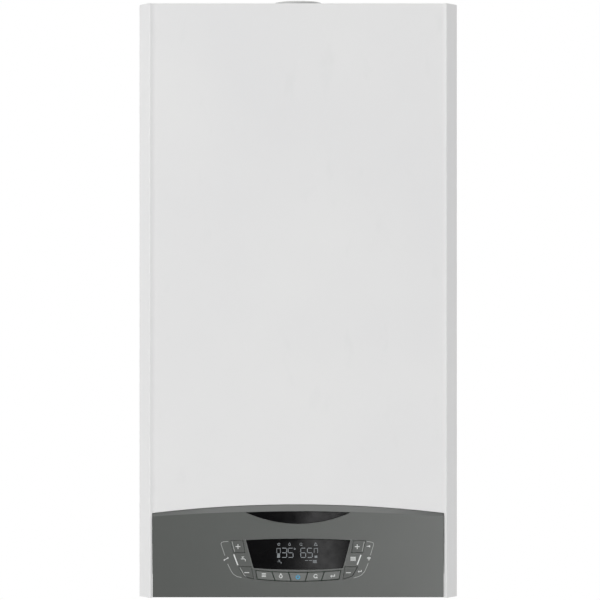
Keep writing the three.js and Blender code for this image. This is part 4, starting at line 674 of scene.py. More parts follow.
KEY_OUTLINES = {
    "water_plus": PLUS_KEY, "water_minus": MINUS_KEY,
    "heating_plus": flipped(PLUS_KEY), "heating_minus": flipped(MINUS_KEY),
    "menu": row_key(0), "comfort": row_key(1), "power": row_key(2), "auto": row_key(3),
    "reset": row_key(4),
}
dressed("control_fascia", "fascia_moulding", FASCIA, 0.35, 3, 12, body=PANEL, angle=12)
for key, outline in KEY_OUTLINES.items():
    placed(key_cap(outline), f"key_{key}_cap", KEYS if "_" in key else ROW_KEYS_PAINTED_LIT, f"key_{key}", body=key)


@made_of(LENS, "display_window", body=PANEL)
def display_lens():
    outline = hung_edge(55.75, 37.6, 1.9) + arched_edge(65.5, 74.1, 1.9)
    return soften(facing(outline, WINDOW_BACK, LENS_FRONT), 0.3, 3, 35)


@made_of(LENS, "badge_insert", body=PANEL)
def badge_lens():
    """A bare lens under the arch."""
    outline = hung_edge(65, 106.9, 13.9, 32)[1:-1] + arched_edge(65, 108.4, 1.5)
    return soften(facing(outline, BADGE_BACK, LENS_FRONT), 0.35, 3, 35)


# ---------------------------------------- marks on the panel
INK_SUNK, INK_RISE = 0.1, 0.05


def ribbon(points, width, face):
    """A thin printed line along the points, mitred at its corners."""
    line = [Vector(point) for point in points]
    way = [(b - a).normalized() for a, b in zip(line, line[1:])]
    rights, lefts = [], []
    for i, point in enumerate(line):
        before, after = way[max(i - 1, 0)], way[min(i, len(way) - 1)]
        aside = Vector((-before.y - after.y, before.x + after.x)).normalized()
        aside *= width / 2 / aside.dot(Vector((-after.y, after.x)))
        rights.append(tuple(point - aside))
        lefts.append(tuple(point + aside))
    return facing(rights + lefts[::-1], face + INK_SUNK, face - INK_RISE)


def bow(x, z, radius, start, end, steps=10):
    """Points of an arc, its angles in degrees from the right."""
    turns = [radians(start + (end - start) * i / steps) for i in range(steps + 1)]
    return [(x + radius * cos(turn), z + radius * sin(turn)) for turn in turns]


def moved(lines, x, z, size=1.0):
    return [[(x + a * size, z + b * size) for a, b in line] for line in lines]


def inked(lines, width, face):
    """Lines of one ink or painted highlight, laid on a face that looks forwards."""
    return joined(*[ribbon(line, width, face) for line in lines])


def mark(name, lines, width, look=INK, body=PANEL, face=PANEL_FRONT):
    placed(inked(lines, width, face), name, look, body=body)


# Pictograms as lines about their own middle, a few millimetres across.
PLUS = [[(-3, 0), (3, 0)], [(0, 0.6), (0, 3)], [(0, -0.6), (0, -3)]]
MINUS = [[(-3, 0), (3, 0)]]
TAP = [[(-3.2, 0.4), (1.2, 0.4), (2.4, -0.6), (2.4, -2.6)], [(-0.8, 1), (-0.8, 2.6)],
       [(-2.4, 2.9), (0.8, 2.9)]]
RADIATOR = [[(x, -2.2), (x, 2.2)] for x in (-2.8, -1.4, 0, 1.4, 2.8)] + [[(-3.6, 2.8), (3.6, 2.8)]]
SPANNER = [[(-1.4, -0.8), (1.6, 1.2)], bow(-2.0, -1.2, 0.8, 60, 300, 6), bow(2.2, 1.6, 0.8, -120, 120, 6)]
SIGNAL = [bow(0, -2.4, reach, 50, 130, 6) for reach in (1.6, 3.1, 4.6)] + [[(-0.5, -2.2), (0.5, -2.2)]]
PLUG = [[(-2.4, 0), (0.2, 0)], [(0.6, -1.1), (0.6, 1.1)], [(1.5, -1.1), (1.5, 1.1)]]
MENU = [[(-2.6, z), (2.6, z)] for z in (-1.8, 0, 1.8)]
COMFORT = [bow(0, -0.4, 1.8, 130, 410), [(-1.1, 1), (0, 2.9), (1.1, 1)]]
POWER = [bow(0, 0, 2.2, -230, 50, 14), [(0, 0.6), (0, 3)]]
CYCLE = [bow(0, 0, 2.2, 20, 320, 14), [(2.1, -2.6), (1.7, -1), (0.2, -1.6)]]
BACK = [[(2.6, 1.2), (2.6, -1.2), (-2.2, -1.2)], [(-0.9, 0.1), (-2.4, -1.2), (-0.9, -2.5)]]
BELL = [[(-2.3, -1.7), (2.3, -1.7), (0, 2.2), (-2.3, -1.7)]]
CLOCK = [bow(0, 0, 2, 0, 330, 12), [(0, 1.2), (0, 0), (0.9, 0)]]
FLAME = [bow(0, -0.6, 1.7, 150, 390), [(-1.4, 0.5), (0.2, 2.9), (1.4, 0.5)]]

GUIDES = [
    [(-87.5, 70.8), (-93.4, 70.4), (-95.6, 69.7), (-96.6, 68.4), (-96.5, 66.8), (-91.8, 53.0)],
    [(-88.4, 42.8), (-84.0, 33.6), (-81.0, 29.6), (-76.6, 26.8), (-71.0, 25.6)],
    [(85.9, 70.8), (91.8, 70.0), (94.0, 69.0), (94.6, 67.2), (90.4, 53.4)],
    [(87.8, 43.6), (83.4, 33.4), (80.0, 29.4), (76.0, 26.9), (69.4, 25.2)]]
BARS = [[(-80.7, 54.6), (-75.6, 41.1)], [(78.6, 54.0), (73.9, 41.5)]]
TRIM_LINE = [(-66.2, 73.4), (-56.8, 36.8), (-30, 34.6), (0, 34.0), (30, 34.6), (56.8, 36.8), (66.2, 73.4)]
PANEL_SIGNS = (
    moved(TAP, -68.6, 48.5) + moved(RADIATOR, 68.8, 48.4, 0.95) + moved(SPANNER, -90.4, 48.6, 0.9)
    + moved(SIGNAL, 88.6, 49.0, 0.8) + moved(PLUG, 88.2, 64.7) + moved(BACK, 77.0, 34.0, 0.8))
KEY_MARKS = {
    "water_plus": moved(PLUS, -75.4, 64.4), "water_minus": moved(MINUS, -64.4, 31.8),
    "heating_plus": moved(PLUS, 73.9, 64.3), "heating_minus": moved(MINUS, 62.9, 31.7),
    "menu": moved(MENU, -43, 28.7), "comfort": moved(COMFORT, -21.8, 27.4),
    "auto": moved(CYCLE, 21.8, 27.4), "reset": moved(BACK, 43, 28.6),
}
# Painted highlights: thin lighter lines along the lit edges of some keys, in place of light on their
# rounded edges.
KEY_EDGE_HIGHLIGHTS = {
    "water_plus": [(-83.0, 70.9), (-79.6, 57.9)], "heating_plus": [(82.8, 70.7), (80.2, 58.0)],
    "water_minus": [(-73.0, 38.2), (-67.4, 28.4), (-65.2, 26.9)],
}
mark("guide_lines", GUIDES, 0.7, DIM_INK_AND_EDGE_HIGHLIGHT)
mark("setting_bars", BARS, 1.5)
mark("panel_pictograms", PANEL_SIGNS, 0.75)
mark("window_trim", [TRIM_LINE], 1.0, TRIM)
for key, lines in KEY_MARKS.items():
    mark(key + "_mark", lines, 0.9, INK, key, KEY_FRONT)
mark("power_mark", moved(POWER, -0.4, 26.2), 1.1, BLUE_INK, "power", KEY_FRONT)
# The key edge lines are painted highlights, drawn in the dim ink.
for key, line in KEY_EDGE_HIGHLIGHTS.items():
    mark(key + "_painted_edge_highlight", [line], 0.8, DIM_INK_AND_EDGE_HIGHLIGHT, key, KEY_FRONT)

# ---------------------------------------- the lit display
SEGMENTS = {"3": "abgcd", "5": "afgcd", "6": "afgecd"}
FIGURES = {-20.6: "3", -12.6: "5", 3.2: "6", 11.5: "5"}
FIGURE_FOOT, FIGURE_WIDE, FIGURE_HIGH, SEGMENT_GAP = 50.8, 6.2, 11.6, 0.55
TOP_SIGNS, LOW_SIGNS, LOW_DASHES = 67.2, 45.0, 47.0


def digit(figure, x):
    """One seven-segment figure; each segment stops short of the next."""
    w, h, gap = FIGURE_WIDE, FIGURE_HIGH, SEGMENT_GAP
    bars = {
        "a": [(gap, h), (w - gap, h)], "g": [(gap, h / 2), (w - gap, h / 2)], "d": [(gap, 0), (w - gap, 0)],
        "f": [(0, h - gap), (0, h / 2 + gap)], "b": [(w, h - gap), (w, h / 2 + gap)],
        "e": [(0, h / 2 - gap), (0, gap)], "c": [(w, h / 2 - gap), (w, gap)],
    }
    return moved([bars[bar] for bar in SEGMENTS[figure]], x, FIGURE_FOOT)


def lit_display():
    figures = [bar for x, figure in FIGURES.items() for bar in digit(figure, x)]
    ladders = [[(-26.4, z), (-22.8, z)] for z in (51.0, 52.4, 53.8, 55.2)]
    ladders += [[(20.4, z), (24.0, z)] for z in (51.0, 52.4)]
    signs = [[(x - 2.2, 56.4), (x - 2.2, 62.2), (x + 2.2, 62.2), (x + 2.2, 56.4)] for x in (-24.6, 22.2)]
    signs += moved(TAP, -23.2, LOW_SIGNS, 0.8) + moved(RADIATOR, 20.7, LOW_SIGNS + 0.2, 0.7)
    for sign, x, size in ((CLOCK, -24.2, 0.8), (FLAME, -10.8, 0.7), (CYCLE, 3.5, 0.7), (BELL, 21.9, 0.9)):
        signs += moved(sign, x, TOP_SIGNS, size)
    signs += [[(start, LOW_DASHES), (end, LOW_DASHES)] for start, end in ((8.5, 12.2), (13.4, 17.0))]
    signs.append(bow(-4.4, 61.6, 0.9, 0, 330, 10))
    return joined(*[inked(lines, width, LENS_FRONT)
                    for lines, width in ((figures, 0.7), (ladders, 1.0), (signs, 0.45))])


placed(lit_display(), "display_segments", LCD, body=PANEL)

# ---------------------------------------- flue
FLUE_AXIS = (0, -165)
FLUE_BORE, DUCT_BORE = 28.5, 31.8
COLLAR_FOOT, COLLAR_FLOOR = 745.3, 748.3
SPOKE_START, SPOKE_END, SPOKE_HALF = 30.6, 48, 4


@made_of(FLUE, "flue_spigot")
def flue_outlet():
    """A tube with a rolled rim inside a slotted collar for the air."""
    tube = turned("z", FLUE_AXIS, [
        (FLUE_BORE, 700), (31.5, 700), (31.5, 760.8), (30.6, 762), (29.2, 762), (FLUE_BORE, 760.8),
        (FLUE_BORE, 700)])
    collar = turned("z", FLUE_AXIS, [
        (46.7, COLLAR_FOOT), (52, COLLAR_FOOT), (52, 753.4), (51.2, 754.3), (50.2, 754.3), (49.5, 753.4),
        (49.5, COLLAR_FLOOR), (46.7, COLLAR_FLOOR), (46.7, COLLAR_FOOT)])
    (x, y), half = FLUE_AXIS, SPOKE_HALF
    spokes = []
    for start, end in ((SPOKE_START, SPOKE_END), (-SPOKE_START, -SPOKE_END)):
        for sides in ((x + start, x + end, y - half, y + half),
                      (x - half, x + half, y + start, y + end)):
            spokes.append(rounded(*sides, COLLAR_FOOT, COLLAR_FLOOR, 0.4))
    return joined(tube, collar, *spokes)


duct = turned("z", FLUE_AXIS, [
    (DUCT_BORE, 610), (34.8, 610), (34.8, 702), (36.2, 703), (36.2, 706), (DUCT_BORE, 706),
    (DUCT_BORE, 610)])
placed(duct, "flue_pipe", FLUE, "flue_duct")

# ---------------------------------------- heat cell
CELL = (-55, 545)
CELL_RADIUS, CELL_BACK, CELL_FRONT = 90, -95, -240
CELL_FLOW, CELL_RETURN = (-91, -130), (-19, -130)
DOOR_FRONT, DUCT_FRONT = -250.3, -283
ELECTRODE = (-94.2, 505.8)
WASHER, HEAD_TALL, HEAD_CROWN = 0.8, 3, 3.6


def bolts(axis, centre, circle, count, along, out, start, head=4.0):
    """A ring of hexagon heads on washers."""
    washer, tall, crown = [along + out * step for step in (WASHER, HEAD_TALL, HEAD_CROWN)]
    return ring(axis, centre, circle, count, start, lambda place: joined(
        rod(axis, place, head + 1, along, washer, 20),
        turned(axis, place, [(head, washer), (head, tall), (head - 0.6, crown)], 6)))


def duct_outline(grow):
    """The duct seen from the front: over the door, then a narrower arm to the fan."""
    left, right, low, high, end = -96 - grow, -14 + grow, 504 - grow, 620 + grow, 38.7 + grow
    shoulder, chamfer = 588 - grow, 20
    return [(left, low + chamfer), (left + chamfer, low), (right - chamfer, low), (right, low + chamfer),
            (right, shoulder - chamfer), (right + chamfer, shoulder), (end, shoulder), (end, high),
            (left + chamfer, high), (left, high - chamfer)]


@made_of(STEEL, "heat_exchanger_shell")
def heat_cell():
    """A drum with two rolled beads and a door flange, on a foot, with its two water ports below."""
    radius, bead = CELL_RADIUS, CELL_RADIUS + 1.6
    drum = turned("y", CELL, [
        (radius, CELL_BACK), (radius, -118), (bead, -120), (bead, -126), (radius, -128), (radius, -176),
        (bead, -178), (bead, -184), (radius, -186), (radius, -236.6), (97.4, -236.6), (98, -237.2),
        (98, -239.4), (97.4, CELL_FRONT), (87, CELL_FRONT), (87, CELL_BACK - 3)])
    ports = [turned("z", port, [(12, 448.7), (12, 456), (13.4, 457), (13.4, 461), (12, 462), (12, 480)],
                    SMALL_ROUND) for port in (CELL_FLOW, CELL_RETURN)]
    foot = rounded(-100, -10, -98, -6, 590, 608, 1.2)
    return joined(soften(drum, 0.5, 2, 40), foot, *ports)


dressed("exchanger_coil", "coil_winding", COIL, 0.6, 2, 20, angle=60)


@made_of(CAST, "burner_door")
def burner_door_casting():
    door = turned("y", CELL, [(98, CELL_FRONT - 0.3), (98, -248.6), (96.4, DOOR_FRONT)])
    door = cut(soften(door, 0.4), facing(duct_outline(0.3), DOOR_FRONT + 2, -260))
    return joined(door, bolts("y", CELL, 89, 8, DOOR_FRONT, -1, pi / 8))


dressed("burner_tube", "burner_tube_mesh", STEEL, 0.3)


@made_of(PALE, "ignition_electrode")
def ignition_pin():
    """A ribbed porcelain body with its pin."""
    collar_end, pitch = -253.2, 2.6
    profile = [(7, DOOR_FRONT - 0.3), (7, collar_end)]
    for i in range(4):
        y = collar_end - pitch * i
        profile += [(4.6, y - 0.4), (4.6, y - 1.2), (5.6, y - 1.6), (5.6, y - pitch)]
    body = turned("y", ELECTRODE, profile + [(3.4, -264.6), (3.4, -268.6)], SMALL_ROUND)
    return joined(body, rod("y", ELECTRODE, 1.5, -249.6, -203, 16))


@made_of(CAST, "mixture_elbow")
def mixture_duct():
    """The cast duct that carries gas and air from the fan into the burner door."""
    cast = soften(copied("mixture_elbow"), 2.4, 4, 30)
    webs = [rounded(-60, -56, DUCT_FRONT - 3.4, DUCT_FRONT, 520, 606, 0.8),
            rounded(-80, 24, DUCT_FRONT - 3.4, DUCT_FRONT, 602, 606, 0.8)]
    pads = [rod("y", place, 6, DUCT_FRONT, DUCT_FRONT - 3.2, 32)
            for place in ((-84, 516), (-26, 516), (-84, 608), (28, 612))]
    return joined(cast, *webs, *pads)


# ---------------------------------------- fan, mixer and silencer
FAN_AXIS = (105, 560)
FAN_BACK, FAN_FRONT, FAN_WALL = -235, -285, 3
MIXER_AXIS, MIXER_RADIUS = (105, -202.5), 22
MOTOR_FLANGE, MOTOR_FACE = -285.3, -306.1


@made_of(CAST, "fan_housing")
def fan_casing():
    """A drum with a seam flange and a square spout, hollowed for the wheel and the air."""
    inner_back, inner_front = FAN_BACK - FAN_WALL, FAN_FRONT + FAN_WALL
    drum = turned("y", FAN_AXIS, [
        (55, FAN_BACK), (58.8, -235.9), (60, -238.5), (60, -257), (63, -257.6), (63, -262.4), (60, -263),
        (60, -281.5), (58.8, -284.1), (55, FAN_FRONT)])
    spout = rounded(39, 100, FAN_FRONT + 0.2, FAN_BACK - 0.2, 588, 620, 3, 4)
    casing = combine(drum, spout, "UNION")
    casing = cut(casing, rod("y", FAN_AXIS, 57, inner_back, inner_front))
    casing = cut(casing, block(30, 105, inner_front, inner_back, 591, 617))
    casing = cut(casing, rod("y", FAN_AXIS, MIXER_RADIUS, -240, -230))
    casing = cut(casing, rod("y", FAN_AXIS, 6, -286, -280, SMALL_ROUND))
    return joined(casing, bolts("y", FAN_AXIS, 51, 6, FAN_FRONT, -1, pi / 6, 3))


dressed("fan_impeller", "fan_wheel_blades", CAST, 0.25, body="fan_wheel")


@made_of(BLACK, "fan_motor")
def fan_motor_can():
    can = turned("y", FAN_AXIS, [
        (3.1, -301.5), (3.1, MOTOR_FLANGE), (35, MOTOR_FLANGE), (35, -288), (32.4, -288.6), (32, -291),
        (32, -303), (29.4, MOTOR_FACE), (12, MOTOR_FACE), (11, -305.2)])
    return joined(can, rounded(FAN_AXIS[0] - 9, FAN_AXIS[0] + 9, -302, -291, 588, 598, 0.8))


@made_of(BLACK, "gas_mixer")
def mixer_tube():
    radius = MIXER_RADIUS
    upright = turned("z", MIXER_AXIS, [
        (19, 516), (radius, 518), (radius, 560), (24, 562), (24, 568), (radius, 570), (radius, 640),
        (23.6, 641), (23.6, 647.7)])
    return joined(upright, rod("y", FAN_AXIS, radius, -234.7, -204))


@made_of(BLACK, "air_silencer")
def silencer_box():
    """A blow-moulded box with swaged ribs and a strap to the top plate."""
    ribs = [rounded(44.4, 165.6, -285.6, -174.4, z, z + 5, 1.6, 3) for z in (662, 682, 702)]
    strap = rounded(75, 135, -178, -175, 720, 743.5, 0.6)
    return joined(rounded(45, 165, -285, -175, 648, 725, 6, 5), *ribs, strap)


# ---------------------------------------- gas side
TAILS_Y, TAIL_END = -120, 6
GAS_PIPE, WATER_PIPE, PIPE_WALL = 8, 9, 2
GAS_VALVE, GAS_OUT = (145, -201), (129.5, -201)
VALVE_FACE, NUT_CHAMFER = -234, 1.6


def union_nut(axis, centre, radius, start, end):
    out = 1 if end > start else -1
    return turned(axis, centre, [(radius - NUT_CHAMFER, start), (radius, start + out), (radius, end - out),
                                 (radius - NUT_CHAMFER, end)], 6)


def open_tail(x, radius, stop):
    """The open end of a pipe under the base, and its union nut."""
    bore = radius - PIPE_WALL
    pipe = turned("z", (x, TAILS_Y), [
        (bore, 34), (bore, TAIL_END), (radius - 0.5, TAIL_END), (radius, 6.6), (radius, stop)], 64)
    return joined(pipe, union_nut("z", (x, TAILS_Y), 15, 20, 34))


@made_of(CAST, "gas_valve")
def gas_valve_body():
    """A cast block with its coil, two test screws, a plug, four bolts and the pipe to the mixer."""
    body = rounded(114, 176, VALVE_FACE, -168, 385, 469, 2.5, 3)
    coil = turned("y", (145, 437), [(21, -232), (21, -251), (19.4, -253.8), (9, -253.8), (8, -252.8)])
    screws = [turned("y", (x, 403), [(6, VALVE_FACE + 1), (6, -237.5), (4.6, -237.9), (4.6, -236)], 32)
              for x in (131, 159)]
    plug = rounded(132, 158, -246, VALVE_FACE + 1, 460, 468.6, 0.8)
    bend_height = 502.7
    outlet = piped([(*GAS_OUT, 466), (*GAS_OUT, bend_height), (*MIXER_AXIS, bend_height),
                    (*MIXER_AXIS, 515.7)], GAS_PIPE, 10)
    heads = bolts("y", (145, 427), 29, 4, VALVE_FACE, -1, pi / 4, 2.6)
    return joined(body, coil, union_nut("z", GAS_VALVE, 14.4, 375, 386), outlet, plug, *screws,
                  heads)


@made_of(COPPER, "gas_pipe")
def gas_pipe_run():
    run = piped([(0, TAILS_Y, 60), (0, TAILS_Y, 224), (*GAS_VALVE, 344.7), (*GAS_VALVE, 374.7)],
                GAS_PIPE, 24)
    return joined(open_tail(0, GAS_PIPE, 62), run)


# ---------------------------------------- water side
PUMP, PUMP_AXIS = (134, 150), (134, TAILS_Y)
DIVERTER_AXIS, VENT_AXIS = (-134, TAILS_Y), (105.2, TAILS_Y)
VESSEL, VESSEL_BACK, VESSEL_FACE = (0, 325), -12, -78
SHOULDER_STARTS, SHOULDER = 136, 18
HOSE_PORT, HOSE_AXIS, HOSE_TUBE = (96, 293), (162.8, -104.7), 4.5
PORT_FOOT, PORT_NUT = 448.2, 14
PLATES, PLATE_PITCH, PACK_Y = 10, 4, -160


def shoulder(face, side, steps=10):
    """The rounded shoulder of one half of the vessel."""
    turns = [pi / 2 * i / steps for i in range(steps + 1)]
    return [(SHOULDER_STARTS + SHOULDER * sin(t), face + side * SHOULDER * (1 - cos(t))) for t in turns]


@made_of(VESSEL_RED, "expansion_vessel", angle=40)
def vessel_drum():
    """Two pressed shells with a rolled seam between them, on a welded foot."""
    seam = [(154, -41), (157, -41.6), (160, -42.6), (160, -47.4), (157, -48.4), (154, -49)]
    dished = [(120, VESSEL_FACE), (116, -76.6), (60, -76.6), (56, VESSEL_FACE)]
    drum = turned("y", VESSEL, [(120, VESSEL_BACK)] + shoulder(VESSEL_BACK, -1) + seam
                  + shoulder(VESSEL_FACE, 1)[::-1] + dished, 128)
    foot = rounded(-80, 80, VESSEL_BACK - 1, -6, 272, 378, 1)
    stub = rod("y", HOSE_PORT, 7, -74, -78.2, 6)
    valve = turned("y", (-70, 300), [(5, -76), (5, -78.4), (3.4, -78.6)], 24)
    return joined(drum, foot, stub, valve)


@made_of(STEEL, "vessel_hose")
def vessel_hose_run():
    x, z = HOSE_PORT
    run = piped([(x, -78.5, z), (x, HOSE_AXIS[1], z), (*HOSE_AXIS, z), (*HOSE_AXIS, 186.3)], HOSE_TUBE, 9)
    return joined(run, union_nut("z", HOSE_AXIS, 7, 186.5, 196), union_nut("y", HOSE_PORT, 7, -78.8, -88))


@made_of(BLACK, "pump_body")
def pump_volute():
    volute = turned("y", PUMP, [
        (33, -95), (36, -97), (36, -141), (38, -142), (38, -144.8), (26, -144.8), (26, -111.7)])
    low = turned("z", PUMP_AXIS, [(12, 102), (14, 103), (14, 107), (12, 108), (12, 123)], SMALL_ROUND)
    high = turned("z", PUMP_AXIS, [(12, 177), (12, 194), (14, 195), (14, 199), (12, 200)], SMALL_ROUND)
    vent_boss = rod("z", VENT_AXIS, 8, 172, 186, SMALL_ROUND)
    hose_boss = rod("z", HOSE_AXIS, 6.75, 168, 186, SMALL_ROUND)
    return joined(soften(volute, 0.6), low, high, vent_boss, hose_boss)


dressed("pump_impeller", "pump_wheel_blades", PALE, 0.2, body="pump_wheel")


@made_of(GREY, "pump_motor")
def pump_motor_can():
    """A can with its terminal box on top, and a small rib under it."""
    can = turned("y", PUMP, [
        (3.1, -169), (3.1, -145.3), (42, -145.3), (42, -151.3), (37, -151.3), (37, -172.3), (42, -177.3),
        (42, -234.3), (36, -238.3), (14, -238.3), (14, -240.3), (12.6, -240.3)])
    rib = rounded(133.2, 134.8, -232, -180, 106.4, 109.4, 0.3)
    box = rounded(113, 155, -228.3, -177.3, 186, 206, 2, 3)
    return joined(soften(can, 0.8), box, rounded(115, 153, -226, -179.5, 205, 207, 0.6), rib)


vent = turned("z", VENT_AXIS, [
    (8, 186.3), (8, 191.3), (10, 192.3), (10, 194), (9.4, 194.6), (9.4, 219), (10, 219.6), (10, 222.3),
    (3.3, 223.3), (3.3, 225), (2.6, 225.6), (2.6, 227), (3.3, 227.6), (3.3, 230.3)], SMALL_ROUND)
placed(vent, "air_vent_body", BRASS, "air_vent")


@made_of(COPPER, "return_pipe")
def return_run():
    bend_height = 420.5
    run = piped([(*PUMP_AXIS, 200.3), (*PUMP_AXIS, bend_height), (*CELL_RETURN, bend_height),
                 (*CELL_RETURN, PORT_FOOT)], WATER_PIPE, 20)
    return joined(run, union_nut("z", PUMP_AXIS, PORT_NUT, 200.5, 212),
                  union_nut("z", CELL_RETURN, PORT_NUT, 436, 448))


@made_of(COPPER, "flow_pipe")
def flow_run():
    inlet = (TAILS_Y, 150)
    run = piped([(*CELL_FLOW, PORT_FOOT), (CELL_FLOW[0], *inlet), (-110.7, *inlet)], WATER_PIPE, 15)
    return joined(run, union_nut("z", CELL_FLOW, PORT_NUT, 448, 437))


@made_of(BRASS, "diverter_valve")
def diverter_body():
    body = turned("z", DIVERTER_AXIS, [
        (15, 104), (17, 106), (17, 118), (18, 119), (18, 124), (17, 125), (17, 192), (18, 193), (18, 196),
        (9.5, 196), (9.5, 118)], 64)
    inlet = turned("x", (TAILS_Y, 150), [(12, -123), (12, -114), (13.2, -113), (13.2, -111)], SMALL_ROUND)
    return joined(body, inlet, piped([(-122, TAILS_Y, 127), (-87, TAILS_Y, 127), (-87, -139.7, 127)], 6, 9))


pin = turned("z", DIVERTER_AXIS, [(8, 132), (8, 139), (2.8, 139), (2.8, 209), (2.2, 210)], 32)
placed(pin, "diverter_pin", BRASS, "diverter_spindle", body="diverter_stem")


@made_of(BLACK, "diverter_motor")
def diverter_motor_head():
    head = rounded(-157, -111, -143, -97, 196.3, 250.3, 2.4, 3)
    cap = turned("z", DIVERTER_AXIS, [(16, 250), (16, 254.6), (14.8, 256.3)], 64)
    hole = rod("z", DIVERTER_AXIS, 3.1, 195, 224.3, 24)
    plug = rounded(-140, -128, -146, -142, 204, 216, 0.6)
    return joined(cut(head, hole), cap, plug)


@made_of(STEEL, "plate_heat_exchanger")
def plate_pack():
    """Pressed plates brazed in a pack, modelled once and copied."""
    plate = rounded(-100, 84, -144, -141, 125, 200, 1.2, 3)
    plates = copies(plate, [(0, -PLATE_PITCH * i, 0) for i in range(1, PLATES)])
    core = rounded(-97.6, 81.6, -179, -140.2, 127.4, 197.6, 2)
    ends = [turned("y", (x, z), [(9, -176), (9, -179.2), (7.8, -179.7)], 32)
            for x in (-82, 66) for z in (143, 182)]
    return joined(plates, core, *ends)


def bent_tail(x):
    run = piped([(x, TAILS_Y, 60), (x, TAILS_Y, 86.1), (x, PACK_Y, 102.1), (x, PACK_Y, 124.7)],
                WATER_PIPE, 14)
    return joined(open_tail(x, WATER_PIPE, 62), run)


TAILS = {
    "heating_flow": open_tail(DIVERTER_AXIS[0], WATER_PIPE, 103.7),
    "heating_return": open_tail(PUMP_AXIS[0], WATER_PIPE, 101.7),
    "hot_water": bent_tail(-67), "cold_water": bent_tail(67),
}
for line, tail in TAILS.items():
    placed(tail, line + "_pipe_end", COPPER, line + "_tail")

# ---------------------------------------- fittings over and under the base
TRAP_AXIS, GAUGE_AXIS, TAP_AXIS = (-55, -222.3), (-110, -222), (32, -214)
DIAL_FACE, TICKS, FIRST_TICK, TICK_STEP = 54.7, 9, 210, 30
KNOB_LOBES, LOBE_CIRCLE, RISER_HEIGHT = 6, 10.5, 101.1
SAFETY_AXIS, KNOB_RIBS = (-134, 120), 8

trap = turned("z", TRAP_AXIS, [
    (7, 20), (8, 21), (8, 216.7), (22, 222), (25, 225), (25, 232.7), (23, 234.7), (23, 386.7), (25, 388.7),
    (25, 395), (22, 398.4), (12, 403), (10, 404.7), (10, 440), (11.6, 441), (11.6, 448), (10, 449),
    (10, 454.5)], 64)
placed(trap, "condensate_trap_cup", PALE, "condensate_trap")
# The round gauge looks down through the base; its dial is set back in a bezel.
housing = turned("z", GAUGE_AXIS, [
    (18, 55), (18, 51), (18.8, 50), (21, 50), (22, 51), (22, 61.7), (20, 61.7), (20, 73), (19, 74),
    (5, 75.8), (5, 84)], 64)
placed(housing, "gauge_housing", BLACK, "pressure_gauge")
placed(rod("z", GAUGE_AXIS, 17.9, DIAL_FACE + 0.25, DIAL_FACE, 64), "gauge_dial", PALE)


def gauge_ticks():
    """Ticks read from below, every second one longer."""
    ticks = []
    for i in range(TICKS):
        tick = block(13.8 if i % 2 else 12.4, 15.6, -0.35, 0.35, DIAL_FACE - 0.15, DIAL_FACE)
        tick.rotation_euler = (0, 0, radians(FIRST_TICK - TICK_STEP * i))
        tick.location = Vector((*GAUGE_AXIS, 0)) * MM
        ticks.append(settle(tick))
    return joined(*ticks)


placed(gauge_ticks(), "gauge_ticks", BLACK)
dressed("gauge_needle", "needle_blade", RED, 0.1, body="needle")


@made_of(BRASS, "filling_tap")
def filling_tap_body():
    body = turned("z", TAP_AXIS, [(9, 36.3), (9, 40), (10.4, 41), (10.4, 45), (9, 46), (9, 77.2)],
                  SMALL_ROUND)
    joint = (TAP_AXIS[0], PACK_Y)
    riser = piped([(*TAP_AXIS, 76.2), (*TAP_AXIS, RISER_HEIGHT), (*joint, RISER_HEIGHT), (*joint, 124.7)],
                  6, 9)
    return joined(body, union_nut("z", TAP_AXIS, 12.6, 63.5, 77.2), riser)


@made_of(BLUE, "filling_tap_knob", body="filling_knob")
def filling_star_knob():
    """A star knob: a hub with a ring of lobes."""
    hub = turned("z", TAP_AXIS, [(11, 20.3), (12.2, 21.5), (12.2, 34.8), (11, 36)], SMALL_ROUND)
    lobes = ring("z", TAP_AXIS, LOBE_CIRCLE, KNOB_LOBES, 0, lambda place: turned(
        "z", place, [(2.6, 20), (3.5, 21), (3.5, 35), (2.6, 36)], 24))
    return joined(hub, lobes)


@made_of(BRASS, "safety_valve")
def safety_valve_body():
    body = turned("y", SAFETY_AXIS, [
        (9, -137.3), (9, -156), (10.4, -157), (10.4, -158), (9, -159), (9, -167.3)], SMALL_ROUND)
    nut = union_nut("y", SAFETY_AXIS, 11.7, -155.3, -163.3)
    return joined(body, nut, rod("z", (SAFETY_AXIS[0], -152.3), 4.5, 34.2, 116, 32))


@made_of(RED, "safety_valve_knob", body="safety_knob")
def safety_ribbed_knob():
    """A round knob with raised ribs; one rib is made and copied round it."""
    parts = [turned("y", SAFETY_AXIS, [(11, -167.6), (11, -184.6), (9, -187.2), (6, -187.6), (5.4, -187)],
                    SMALL_ROUND)]
    rib = rounded(-125, -122.1, -186, -168.6, 118.6, 121.4, 0.5)
    for i in range(KNOB_RIBS):
        again(rib)
        bpy.ops.transform.rotate(value=2 * pi * i / KNOB_RIBS, orient_axis="Y",
                                 center_override=axis_spot("y", SAFETY_AXIS, -177))
        parts.append(settle(bpy.context.object))
    bpy.data.objects.remove(rib)
    return joined(*parts)


# ---------------------------------------- control box
dressed("control_box", "control_box_shell", BLACK, 0.5, body=PANEL)
dressed("main_board", "main_board_parts", BOARD, 0.3, body=PANEL)
dressed("display_module", "display_board", BOARD, 0.2, body=PANEL)

# ---------------------------------------- camera, lamps and floor, in metres
EYE, SENSOR, FOCAL, FAR = (0.00226, -3.617, -0.3168), 36, 157.98, 50
FLOOR_CENTRE, FLOOR_RADIUS, FADE_START = (0, -0.16, -1.15), 2.4, 1.5
WORLD_LIGHT, WORLD_TINT, WHITE = 0.35, (0.98, 0.98, 1, 1), (1, 1, 1, 1)
